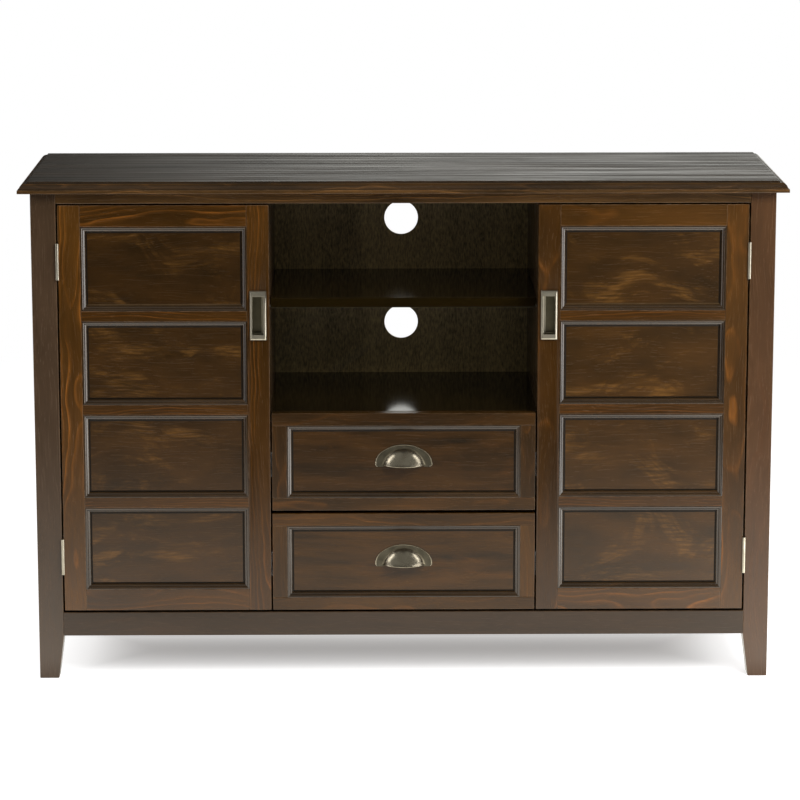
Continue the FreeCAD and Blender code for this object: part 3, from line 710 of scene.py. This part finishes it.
def arc_points(start, end, radius, steps):
    """Points of the shorter arc from start to end that bulges to the front."""
    start, end = Vector(start), Vector(end)
    chord = end - start
    rearward = Vector((-chord.y, chord.x)).normalized()
    centre = (start + end) / 2 + rearward * math.sqrt(radius ** 2 - (chord.length / 2) ** 2)
    first = math.atan2(start.y - centre.y, start.x - centre.x)
    last = math.atan2(end.y - centre.y, end.x - centre.x)
    turns = (first + (last - first) * step / steps for step in range(steps + 1))
    return [(centre.x + radius * math.cos(turn), centre.y + radius * math.sin(turn)) for turn in turns]


# A round bead, a quirk, an ovolo, a toe and a strip of painted shade at its foot, with a flat back
MOULDING_SECTION = [OUTER_BACK_MM, *arc_points(*BEAD_MM), QUIRK_MM, *arc_points(*OVOLO_MM),
                    TOE_MM, SHADE_STRIP_END_MM, INNER_BACK_MM]
SHADE_STRIP_FACE = MOULDING_SECTION.index(TOE_MM)


def mitres(low, high, front):
    """The moulding's section at each corner of a panel, anticlockwise from the lower left."""
    ends = [[] for corner in range(SIDES)]
    for inward_mm, back_mm in MOULDING_SECTION:
        inward, depth = inward_mm * MM, front + back_mm * MM
        left, right = low[X] + inward, high[X] - inward
        bottom, top = low[Z] + inward, high[Z] - inward
        for end, (x, z) in zip(ends, ((left, bottom), (right, bottom), (right, top), (left, top))):
            end.append((x, depth, z))
    return ends


def mouldings(node, panels_node, frame_node):
    """Four mitred strips before each panel, with painted shade along the foot of each; under a door's top
    panel the foot takes a painted highlight instead.
    """
    work = bmesh.new()
    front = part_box(frame_node)[0][Y]
    boxes = solid_boxes(panels_node)
    for low, high in boxes:
        ends = mitres(low, high, front)
        highest = len(boxes) > 1 and low == boxes[-1][0]
        for side in range(SIDES):
            faces = skin(work, [ends[side], ends[(side + 1) % SIDES]])
            for face in faces:
                face.material_index = UPRIGHT_RUN if side % 2 else LEVEL_RUN
            # Under a door's top panel the foot takes a painted highlight instead of painted shade.
            rubbed = highest and side == BOTTOM_SIDE
            faces[SHADE_STRIP_FACE].material_index = PAINTED_HIGHLIGHT_FOOT if rubbed else PAINTED_SHADE_FOOT
    mesh = finished_mesh(work, node)
    add_piece(f"{node}.dressed", mesh, node, [moulding_wood[X], moulding_wood[Z], corner_shade_wood, foot_highlight_wood])
    vary_boards(mesh, node, X)


# Cup pulls, in mm from the panel's face and the foot of the flange

CUP_MM = dict(dome_half=38.5, dome_height=32.5, projection=23.0, lip=2.5, wall=1.8, flange=1.0, rim=1.6,
              fillet=3.2, half=52.0, corner=5.5, shoulder=27.0, height=41.5)
CUP_COLUMNS = 64
CUP_DOME_ROWS = 16
CUP_FILLET_ROWS = 6
CORNER_STEPS, SHOULDER_STEPS, CROWN_STEPS = 6, 12, 14
RIM_SECTION_MM = ((0.0, -0.7), (0.4, -0.2), (1.1, 0.0), (1.7, -0.15))
RIM_WIDTH_MM = 2.2
LIP_STEPS = 40
LIP_SIDES = 10
LIP_WIDTH_MM = 0.9
LIP_HEIGHT_MM = 1.0
LIP_SINK_MM = 0.1
CUP_WELD_MM = 0.001
# Material slots of a cup pull: bright pewter, patina, and painted shade on the fillet.
BRIGHT, PATINATED, FILLET_SHADE = range(3)


def cup_shape():
    """The pull's sizes, with those of the ball that its dome is cut from."""
    cup = SimpleNamespace(**CUP_MM)
    cup.lip_radius = (cup.dome_half ** 2 + cup.projection ** 2) / (2 * cup.projection)
    cup.below = (cup.dome_half ** 2 - cup.dome_height ** 2) / (2 * cup.dome_height)
    cup.behind = cup.lip_radius - cup.projection
    cup.middle = cup.lip - cup.below
    cup.radius = math.hypot(cup.lip_radius, cup.below)
    cup.inner_radius = cup.radius - cup.wall
    cup.inner_end = math.sqrt(cup.inner_radius ** 2 - cup.behind ** 2)
    return cup


def fan(low, count):
    """Angles from low on the right over the crown to low on the left."""
    return [low + (math.pi - 2 * low) * step / count for step in range(count + 1)]


def cup_point(cup, angle, distance, depth):
    """The point at an angle and a distance from the ball's middle, seen from the front."""
    return Vector((distance * math.cos(angle), depth, cup.middle + distance * math.sin(angle)))


def dome_fillet(cup):
    """Where the fillet leaves the dome, and its points, as (distance from the ball's middle, depth)."""
    reach = cup.behind + cup.flange + cup.fillet
    swing = cup.radius + cup.fillet
    foot = math.sqrt(swing ** 2 - reach ** 2)
    first = math.atan2(reach, -foot)
    points = []
    for step in range(1, CUP_FILLET_ROWS + 1):
        angle = first + (math.pi / 2 - first) * step / CUP_FILLET_ROWS
        points.append((foot + cup.fillet * math.cos(angle),
                       -cup.flange - cup.fillet + cup.fillet * math.sin(angle)))
    return foot * cup.radius / swing, points


def ball_rows(cup, radius, end, angles):
    """Rows of points on a ball's front, from the plane of the lip out to a distance from the middle."""
    rows = []
    for row in range(CUP_DOME_ROWS + 1):
        points = []
        for angle in angles:
            start = cup.below / math.sin(angle)
            distance = start + (end - start) * row / CUP_DOME_ROWS
            depth = cup.behind - math.sqrt(max(radius ** 2 - distance ** 2, 0.0))
            points.append(cup_point(cup, angle, distance, depth))
        rows.append(points)
    return rows


def cup_dome(work, cup):
    """The shell of the cup: the ball's front, a fillet onto the flange with painted shade, and the hollow
    behind.
    """
    outer_end, fillet = dome_fillet(cup)
    outer_angles = fan(math.asin(cup.below / outer_end), CUP_COLUMNS)
    inner_angles = fan(math.asin(cup.below / cup.inner_end), CUP_COLUMNS)
    inner = ball_rows(cup, cup.inner_radius, cup.inner_end, inner_angles)
    outer = ball_rows(cup, cup.radius, outer_end, outer_angles)
    onto_flange = [[cup_point(cup, angle, *place) for angle in outer_angles] for place in fillet]
    rows = inner[::-1] + outer + onto_flange
    for number, face in enumerate(skin(work, rows, looped=True)):
        face.material_index = FILLET_SHADE if number // CUP_COLUMNS > 2 * CUP_DOME_ROWS else BRIGHT


def arc_run(centre, radius, first, last, steps):
    """Points along an arc, without its last one."""
    turns = (first + (last - first) * step / steps for step in range(steps))
    return [(centre[0] + radius * math.cos(turn), centre[1] + radius * math.sin(turn)) for turn in turns]


def cup_outline(cup):
    """Outer edge of the flange from the right foot over the crown to the left foot, as (x, z)."""
    rise, reach = cup.height - cup.corner, cup.half - cup.shoulder
    crown = (reach ** 2 + rise ** 2 - cup.shoulder ** 2) / (2 * (rise - cup.shoulder))
    blend = math.atan2(crown - rise, reach)
    right = (arc_run((cup.half - cup.corner, cup.corner), cup.corner, -math.pi / 2, 0.0, CORNER_STEPS)
             + arc_run((reach, cup.corner), cup.shoulder, 0.0, blend, SHOULDER_STEPS)
             + arc_run((0.0, cup.height - crown), crown, blend, math.pi / 2, CROWN_STEPS))
    return right + [(0.0, cup.height)] + [(-x, z) for x, z in right[::-1]]


def cup_flange(work, cup):
    """The arched plate round the dome, with a raised bright edge round a darkened flat."""
    hole = cup.inner_end
    outer = cup_outline(cup)
    rows = []
    for (x, z), angle in zip(outer, fan(math.asin(-cup.middle / hole), len(outer) - 1)):
        inner = Vector((hole * math.cos(angle), cup.middle + hole * math.sin(angle)))
        edge = Vector((x, z))
        inward = (inner - edge).normalized()
        rim = [(edge + inward * reach, cup.rim + rise) for reach, rise in RIM_SECTION_MM]
        flat = [(edge + inward * RIM_WIDTH_MM, cup.flange), (inner, cup.flange)]
        section = [(edge, 0.0), *rim, *flat, (inner, 0.0)]
        rows.append([(point.x, -depth, point.y) for point, depth in section])
    flat_face = len(RIM_SECTION_MM) + 1
    for number, face in enumerate(skin(work, rows)):
        face.material_index = PATINATED if number % len(section) == flat_face else BRIGHT


def cup_lip(work, cup):
    """The rolled bead along the front edge of the dome's mouth."""
    reach = cup.lip_radius - LIP_SINK_MM
    limit = math.acos((cup.behind + cup.flange) / reach)
    centre = Vector((0.0, cup.behind, cup.lip + LIP_HEIGHT_MM))
    up = Vector((0.0, 0.0, 1.0))
    around = [2 * math.pi * number / LIP_SIDES for number in range(LIP_SIDES)]
    rows = []
    for step in range(LIP_STEPS + 1):
        turn = -limit + 2 * limit * step / LIP_STEPS
        out = Vector((math.sin(turn), -math.cos(turn), 0.0))
        middle = centre + out * reach
        rows.append([middle + out * LIP_WIDTH_MM * math.cos(side) + up * LIP_HEIGHT_MM * math.sin(side)
                     for side in around])
    skin(work, rows)


def cup_pull(node):
    """A cup pull with its flange against the panel."""
    work = bmesh.new()
    cup = cup_shape()
    cup_dome(work, cup)
    cup_flange(work, cup)
    cup_lip(work, cup)
    bmesh.ops.remove_doubles(work, verts=work.verts[:], dist=CUP_WELD_MM)
    low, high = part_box(node)
    foot = Vector(((low[X] + high[X]) / 2, high[Y], low[Z]))
    work.transform(Matrix.Translation(foot) @ Matrix.Scale(MM, 4))
    mesh = finished_mesh(work, node)
    add_piece(f"{node}.dressed", mesh, node, [pewter, patina, fillet_shade_pewter])
    vary_boards(mesh, node, X)


# Door pulls

POCKET_DEPTH = 2.0 * MM
POCKET_MARGIN = 3.0 * MM
SQUARE_FACE = 0.95
# Material slots of a door pull: its face, the pocket's painted shade and the pocket's duller sloping side.
PULL_FACE, POCKET_SHADE, POCKET_DULL = range(3)


def in_pocket(face, low, high):
    """Whether a face of a door pull lies in its pocket."""
    deep = face.center[Y] - low[Y] > POCKET_DEPTH
    return deep and all(low[axis] + POCKET_MARGIN < face.center[axis] < high[axis] - POCKET_MARGIN
                        for axis in (X, Z))


def shade_pocket(piece, node):
    """Paints shade on the floor and the square sides of a pull's pocket, and gives its sloping side a
    lighter, duller nickel.
    """
    low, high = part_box(node)
    shape = piece.data
    shape.materials.append(pocket_shade_nickel)
    shape.materials.append(dull_nickel)
    finishes = []
    for face in shape.polygons:
        square = max(abs(part) for part in face.normal) > SQUARE_FACE
        inner = POCKET_SHADE if square else POCKET_DULL
        finishes.append(inner if in_pocket(face, low, high) else PULL_FACE)
    shape.polygons.foreach_set("material_index", finishes)


# Eased boards and hardware

EASE_MM = {"stained_wood": 0.9, "back_veneer": 0.4, "drawer_wood": 1.0, "satin_nickel": 0.5,
           "zinc_steel": 0.3, "catch_plastic": 0.8}
LEG_EASE_MM = 1.4
PULL_EASE_MM = 2.8
PULL_SEGMENTS = 5
SHELF_EASE_MM = 0.4
THIN = ("hinge_pins", "shelf_pins", "_strike", "hinge_leaves")


def ease_of(node):
    """The width of a node's eased edges in mm, and the facets across them."""
    if node.endswith("_leg"):
        return LEG_EASE_MM, EDGE_SEGMENTS
    if node.endswith("_pull"):
        return PULL_EASE_MM, PULL_SEGMENTS
    if node == "bay_shelf":
        return SHELF_EASE_MM, EDGE_SEGMENTS
    return EASE_MM[SLOT_OF[node]], EDGE_SEGMENTS


def dress_nodes():
    """Gives thin hardware its finish and eases the other plain shapes."""
    for node in sorted(NODES):
        if node.endswith(("_mouldings", "_moulding")) or SLOT_OF[node] == "pewter":
            continue
        if node.endswith(THIN):
            slots = NODES[node].data.materials
            slots.clear()
            slots.append(finish_of(node)[0])
            continue
        piece = dress(node)
        if node.endswith("_door_pull"):
            shade_pocket(piece, node)


# The flat of the top is seen along its grain, and takes its own banded finish, darkened as painted shade. The
# step and the round of its edge take painted shade, with a painted highlight at the top of the round, above a
# lighter lip.
FACING = 0.95
# Depth below the flat in mm, and the tone that paints shade and highlight down to it.
EDGE_SHADE_MM = ((2.6, 0.3), (4.6, 0.9), (13.4, 0.5), (20.0, 1.05))


def top_edge_shade(face, crown):
    """How light a face of the top's edge is painted, by its depth below the flat: painted shade on the step
    and the round, a painted highlight at the round's top.
    """
    depth_mm = (crown - face.center.z) / MM
    return next((tone for reach, tone in EDGE_SHADE_MM if depth_mm < reach), 1.0)


def finish_top():
    """Sets the flat of the top apart from its moulded edge, and paints shade and highlight on the edge."""
    top = bpy.data.objects["top_board.dressed"].data
    top.materials.append(shaded_top_face_wood)
    upward = [face.normal.z > FACING for face in top.polygons]
    top.polygons.foreach_set("material_index", [int(up) for up in upward])
    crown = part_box("top_board")[1][Z]
    tones = [1.0 if up else top_edge_shade(face, crown) for up, face in zip(upward, top.polygons)]
    top.attributes["tone"].data.foreach_set("value", tones)


def finish_back():
    """Leaves the rear of the back panel as bare board."""
    back = bpy.data.objects["back_panel.dressed"].data
    back.materials.append(bare_board)
    back.polygons.foreach_set("material_index", [int(face.normal.y > FACING) for face in back.polygons])


# Screws that hold the back panel to the legs, the rails and the partitions

SCREW_COLUMNS = 24
SCREW_HEAD_MM = ((3.4, 0.0), (3.4, 0.5), (3.0, 1.1), (2.4, 1.4))
SCREW_CROSS_MM = ((1.9, 0.6, 1.45), (1.3, 0.5, 0.5))
SCREW_INSET = 9.0 * MM
SCREWS_ACROSS = 7
SCREWS_UP = 4
SPOT_DIGITS = 5


def screw_head(work, place):
    """A pan head with a cross recess, facing the rear."""
    quarter = SCREW_COLUMNS // 4
    on_arm = [column % quarter in (0, 1, quarter - 1) for column in range(SCREW_COLUMNS)]
    rows = [[(radius, height)] * SCREW_COLUMNS for radius, height in SCREW_HEAD_MM]
    for arm, root, height in SCREW_CROSS_MM:
        rows.append([(arm if reaches else root, height) for reaches in on_arm])
    turns = [2 * math.pi * column / SCREW_COLUMNS for column in range(SCREW_COLUMNS)]
    rings = []
    for row in rows:
        points = [Vector((radius * math.cos(turn), height, radius * math.sin(turn)))
                  for turn, (radius, height) in zip(turns, row)]
        rings.append([place + point * MM for point in points])
    skin(work, rings)


def screw_spots(low, high):
    """Places along the four edges of the back panel and up the middle of each partition, as (x, z)."""
    left, right = low.x + SCREW_INSET, high.x - SCREW_INSET
    bottom, top = low.z + SCREW_INSET, high.z - SCREW_INSET
    columns = [left, right]
    for side in ("left", "right"):
        first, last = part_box(f"{side}_partition")
        columns.append((first[X] + last[X]) / 2)
    spots = set()
    for step in range(SCREWS_ACROSS):
        x = round(left + (right - left) * step / (SCREWS_ACROSS - 1), SPOT_DIGITS)
        spots.update({(x, bottom), (x, top)})
    for step in range(1, SCREWS_UP):
        z = bottom + (top - bottom) * step / SCREWS_UP
        spots.update((round(x, SPOT_DIGITS), z) for x in columns)
    return sorted(spots)


def back_screws():
    """The screw heads on the rear of the back panel."""
    low, high = (Vector(corner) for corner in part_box("back_panel"))
    work = bmesh.new()
    for x, z in screw_spots(low, high):
        screw_head(work, Vector((x, high.y, z)))
    mesh = finished_mesh(work, "back_panel_screws")
    mesh.materials.append(zinc)
    piece = linked("back_panel_screws", mesh)
    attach(piece, BODY_OF["back_panel"])
    vary_boards(mesh, "back_panel_screws", X)


# Floor. A ramp is (from, to) along an axis, then the levels at both ends.

WHITE = (1.0, 1.0, 1.0, 1.0)
FLOOR_RADIUS = 7.0
FLOOR_SEGMENTS = 96
FLOOR_GRIT = Layer(9.0, 9.0, detail=3.0)
FLOOR_PAINT = ((0.86, 0.86, 0.86, 1.0), (0.88, 0.88, 0.88, 1.0))
FOOTPRINT = {"X": 0.66, "Y": 0.2}
# Painted shadow: the glow lifts the floor less the further inside the stand's footprint a point lies.
PAINTED_SHADOW_LIFT = (0.0, 0.2, 0.75, 0.33)
FLOOR_FADE = (1.6, 3.2)
GLOW_COLOUR = (1.0, 0.97, 0.89, 1.0)
FRONT_PLANE = 0.2
SIDE_PLANE = 0.7
WIDE_GLOW = (0.9, 2.2, 1.2, 0.0)
NEAR_GLOW_REACH = 0.35
ACROSS_SHARES = (-0.9, 1.2, 0.85, 1.35)
OUTER_START = (0.45, 0.7)
OUTER_GLOW = (0.5, 1.7, 0.4, 0.0)
FAR_RIGHT_GLOW = (0.8, 1.15, 0.0, 0.45)
BESIDE_SHARES = (-0.34, -0.2, 1.0, 0.4)


def floor_seen(graph, place, ground, lit):
    """The floor to the eye: lit, with a glow that is weaker inside the stand's footprint and paints a soft
    shadow there, and plain white further out.
    """
    inside = graph.math("MINIMUM", *(graph.math("SUBTRACT", half, graph.math("ABSOLUTE", ground[axis]))
                                     for axis, half in FOOTPRINT.items()))
    lift = graph.light("Emission", WHITE, graph.fade(inside, *PAINTED_SHADOW_LIFT))
    lifted = graph.node("AddShader", {0: lit, 1: lift}).outputs[0]
    away = graph.fade(graph.vector("LENGTH", place), *FLOOR_FADE)
    return graph.mixed(away, lifted, graph.light("Emission", WHITE, 1.0))


def past(graph, distance, plane):
    """How far a distance from the middle lies beyond a plane of the stand."""
    return graph.math("MAXIMUM", graph.math("SUBTRACT", graph.math("ABSOLUTE", distance), plane), 0.0)


def floor_glow(graph, ground):
    """How brightly the floor glows in reflections: most just before the stand, least beside and behind it."""
    aside, ahead = past(graph, ground["X"], SIDE_PLANE), past(graph, ground["Y"], FRONT_PLANE)
    reach = graph.vector("LENGTH", graph.node("CombineXYZ", {"X": aside, "Y": ahead}).outputs[0])
    wide = graph.fade(reach, *WIDE_GLOW)
    close = graph.math("EXPONENT", graph.math("DIVIDE", reach, -NEAR_GLOW_REACH))
    sideways = graph.math("ABSOLUTE", ground["X"])
    outer = graph.times(graph.span(sideways, *OUTER_START), graph.span(reach, *OUTER_GLOW))
    share = graph.times(graph.span(ground["X"], *ACROSS_SHARES), graph.plus(outer, 1.0))
    even = graph.times(graph.plus(wide, close), share)
    whole = graph.plus(even, graph.span(ground["X"], *FAR_RIGHT_GLOW))
    return graph.times(whole, graph.span(ground["Y"], *BESIDE_SHARES))


def floor_material():
    """Pale floor that keeps the shadow and, in reflections only, glows with a brightness of its own."""
    material = bpy.data.materials.new("floor")
    graph = Graph(material)
    path = graph.node("LightPath").outputs
    place = graph.node("TexCoord").outputs["Object"]
    ground = graph.node("SeparateXYZ", {"Vector": place}).outputs
    paint = graph.blend(graph.span(graph.grain(place, X, FLOOR_GRIT), *NOISE_SPAN), *FLOOR_PAINT)
    lit = graph.node("BsdfDiffuse", {"Color": paint}).outputs[0]
    mirrored = graph.light("Emission", GLOW_COLOUR, floor_glow(graph, ground))
    unseen = graph.mixed(path["Is Glossy Ray"], lit, mirrored)
    graph.output(graph.mixed(path["Is Camera Ray"], unseen, floor_seen(graph, place, ground, lit)))
    return material


def floor():
    """A round floor under the stand."""
    work = bmesh.new()
    bmesh.ops.create_circle(work, cap_ends=True, segments=FLOOR_SEGMENTS, radius=FLOOR_RADIUS)
    mesh = bpy.data.meshes.new("floor")
    work.to_mesh(mesh)
    work.free()
    mesh.materials.append(floor_material())
    plate = linked("floor", mesh)


# Surroundings. A ramp is (from, to) along a component of the direction, then the levels at both ends.

BACKDROP_COLOUR = (1.0, 1.0, 0.94, 1.0)
BACKDROP_TURN = (0.3, 0.75)
BACKDROP_RISE = (-0.1, 0.035)
BACKDROP_FALL = (0.07, 0.16, 1.0, 0.8)
BACKDROP_HEIGHT = (0.22, 0.5, 1.4, 0.1)
BACKDROP_LEFT = (-0.24, -0.15, 0.1, 0.0)
CEILING_RISE = (0.03, 0.3, 0.0, 0.3)
CEILING_CROWN = (0.96, 0.995, 1.0, 0.2)
CEILING_REAR = (0.05, 0.35, 1.0, 0.15)
FILL_LEVEL = 0.3


def studio_glow(graph):
    """How bright the studio is in reflections: a pale backdrop, a dim ceiling and a dark front."""
    way = graph.node("SeparateXYZ", {"Vector": graph.node("TexCoord").outputs["Generated"]}).outputs
    behind = graph.fade(way["Y"], *BACKDROP_TURN)
    middle = graph.times(graph.fade(way["X"], *BACKDROP_RISE), graph.span(way["X"], *BACKDROP_FALL))
    low = graph.fade(way["Z"], *BACKDROP_HEIGHT)
    left = graph.fade(way["X"], *BACKDROP_LEFT)
    backdrop = graph.times(behind, graph.plus(graph.times(middle, low), left))
    above = graph.times(graph.fade(way["Z"], *CEILING_RISE), graph.fade(way["Z"], *CEILING_CROWN))
    ceiling = graph.times(above, graph.fade(way["Y"], *CEILING_REAR))
    return graph.math("MAXIMUM", backdrop, ceiling)


def studio_world():
    """White to the eye, an even grey as fill light, and the studio's own glow in reflections."""
    world = bpy.data.worlds.new("studio")
    bpy.context.scene.world = world
    graph = Graph(world)
    path = graph.node("LightPath").outputs
    mirrored = graph.light("Background", BACKDROP_COLOUR, studio_glow(graph))
    fill = graph.light("Background", WHITE, FILL_LEVEL)
    unseen = graph.mixed(path["Is Glossy Ray"], fill, mirrored)
    eye = graph.math("MAXIMUM", path["Is Camera Ray"], path["Is Transmission Ray"])
    whole = graph.mixed(eye, unseen, graph.light("Background", WHITE, 1.0))
    graph.node("OutputWorld", {"Surface": whole})


# Lamps. Each has a place, a target, a width, a height and a power in watts.

FILLS = {
    "front_key": ((1.4, -2.4, 2.6), (0.1, -0.2, 0.4), 1.4, 1.4, 72.0),
    "right_fill": ((3.2, -0.4, 1.6), (0.0, -0.2, 0.5), 2.4, 2.0, 34.0),
    "left_fill": ((-3.2, -0.4, 1.6), (0.0, -0.2, 0.5), 2.4, 2.0, 34.0),
}
GLINTS = {
    "right_glint": ((2.6, -0.7, 0.3), (0.0, -0.7, 0.3), 4.2, 0.6, 32.0),
    "left_glint": ((-2.6, -0.5, 0.3), (0.0, -0.5, 0.3), 3.4, 0.6, 7.5),
    "low_glint": ((1.7, -1.2, 0.004), (1.7, -1.2, 1.0), 1.4, 1.4, 18.0),
    "upper_right_glint": ((2.8, -0.2, 2.1), (0.0, -0.2, 0.6), 1.2, 2.2, 36.0),
    "upper_left_glint": ((-2.8, -0.2, 2.1), (0.0, -0.2, 0.6), 1.2, 2.2, 42.0),
}
GLINTING = ("_mouldings", "_moulding", "_pull", "hinge_leaves", "hinge_pins")


def add_lamp(name, place, target, width, height, power, gloss_on=()):
    """A lamp that lights everything without showing in reflections, or only a glint on some pieces."""
    lamp = bpy.data.lights.new(name, "AREA")
    lamp.shape = "RECTANGLE"
    lamp.size = width
    lamp.size_y = height
    lamp.energy = power
    holder = linked(name, lamp)
    holder.location = place
    holder.rotation_euler = (Vector(target) - Vector(place)).to_track_quat("-Z", "Y").to_euler()
    holder.visible_camera = False
    holder.visible_glossy = bool(gloss_on)
    holder.visible_diffuse = not gloss_on
    if gloss_on:
        receivers = bpy.data.collections.new(f"{name}_receivers")
        for piece in gloss_on:
            receivers.objects.link(piece)
        holder.light_linking.receiver_collection = receivers


def lights():
    """Even light from the front and both sides, and glints on the mouldings and the metal."""
    glinting = [bpy.data.objects.get(f"{node}.dressed", NODES[node]) for node in sorted(NODES)
                if node.endswith(GLINTING)]
    for name, lamp in FILLS.items():
        add_lamp(name, *lamp)
    for name, lamp in GLINTS.items():
        add_lamp(name, *lamp, glinting)


# Camera, from a fit to the stand's edges in the photograph

CAMERA_PLACE = (-0.0710, -6.1258, 1.6839)
CAMERA_PITCH = math.radians(11.137)
CAMERA_YAW = math.radians(0.622)
CAMERA_ROLL = math.radians(-0.025)
SENSOR_MM = 36.0
LENS_MM = 150.93
CLIP_END = 100.0


def camera():
    """The photograph's camera."""
    facing = Matrix(((1, 0, 0), (0, 0, -1), (0, 1, 0)))
    tilt = Matrix.Rotation(CAMERA_ROLL, 3, "Z") @ Matrix.Rotation(CAMERA_PITCH, 3, "X")
    turn = tilt @ facing @ Matrix.Rotation(CAMERA_YAW, 3, "Z")
    lens = bpy.data.cameras.new("photo_camera")
    lens.sensor_width = SENSOR_MM
    lens.lens = LENS_MM
    lens.clip_end = CLIP_END
    eye = linked("photo_camera", lens)
    columns = Matrix((turn[0], -turn[1], -turn[2])).transposed()
    eye.matrix_world = Matrix.Translation(Vector(CAMERA_PLACE)) @ columns.to_4x4()
    bpy.context.scene.camera = eye


dress_nodes()
for side in ("left", "right"):
    mouldings(f"{side}_door_mouldings", f"{side}_door_panels", f"{side}_door_hinge_stile")
for level in ("upper", "lower"):
    mouldings(f"{level}_drawer_moulding", f"{level}_drawer_front_panel", f"{level}_drawer_front_rails")
    cup_pull(f"{level}_drawer_pull")
finish_top()
finish_back()
back_screws()
floor()
studio_world()
lights()
camera()
bpy.context.scene.view_settings.view_transform = "Standard"
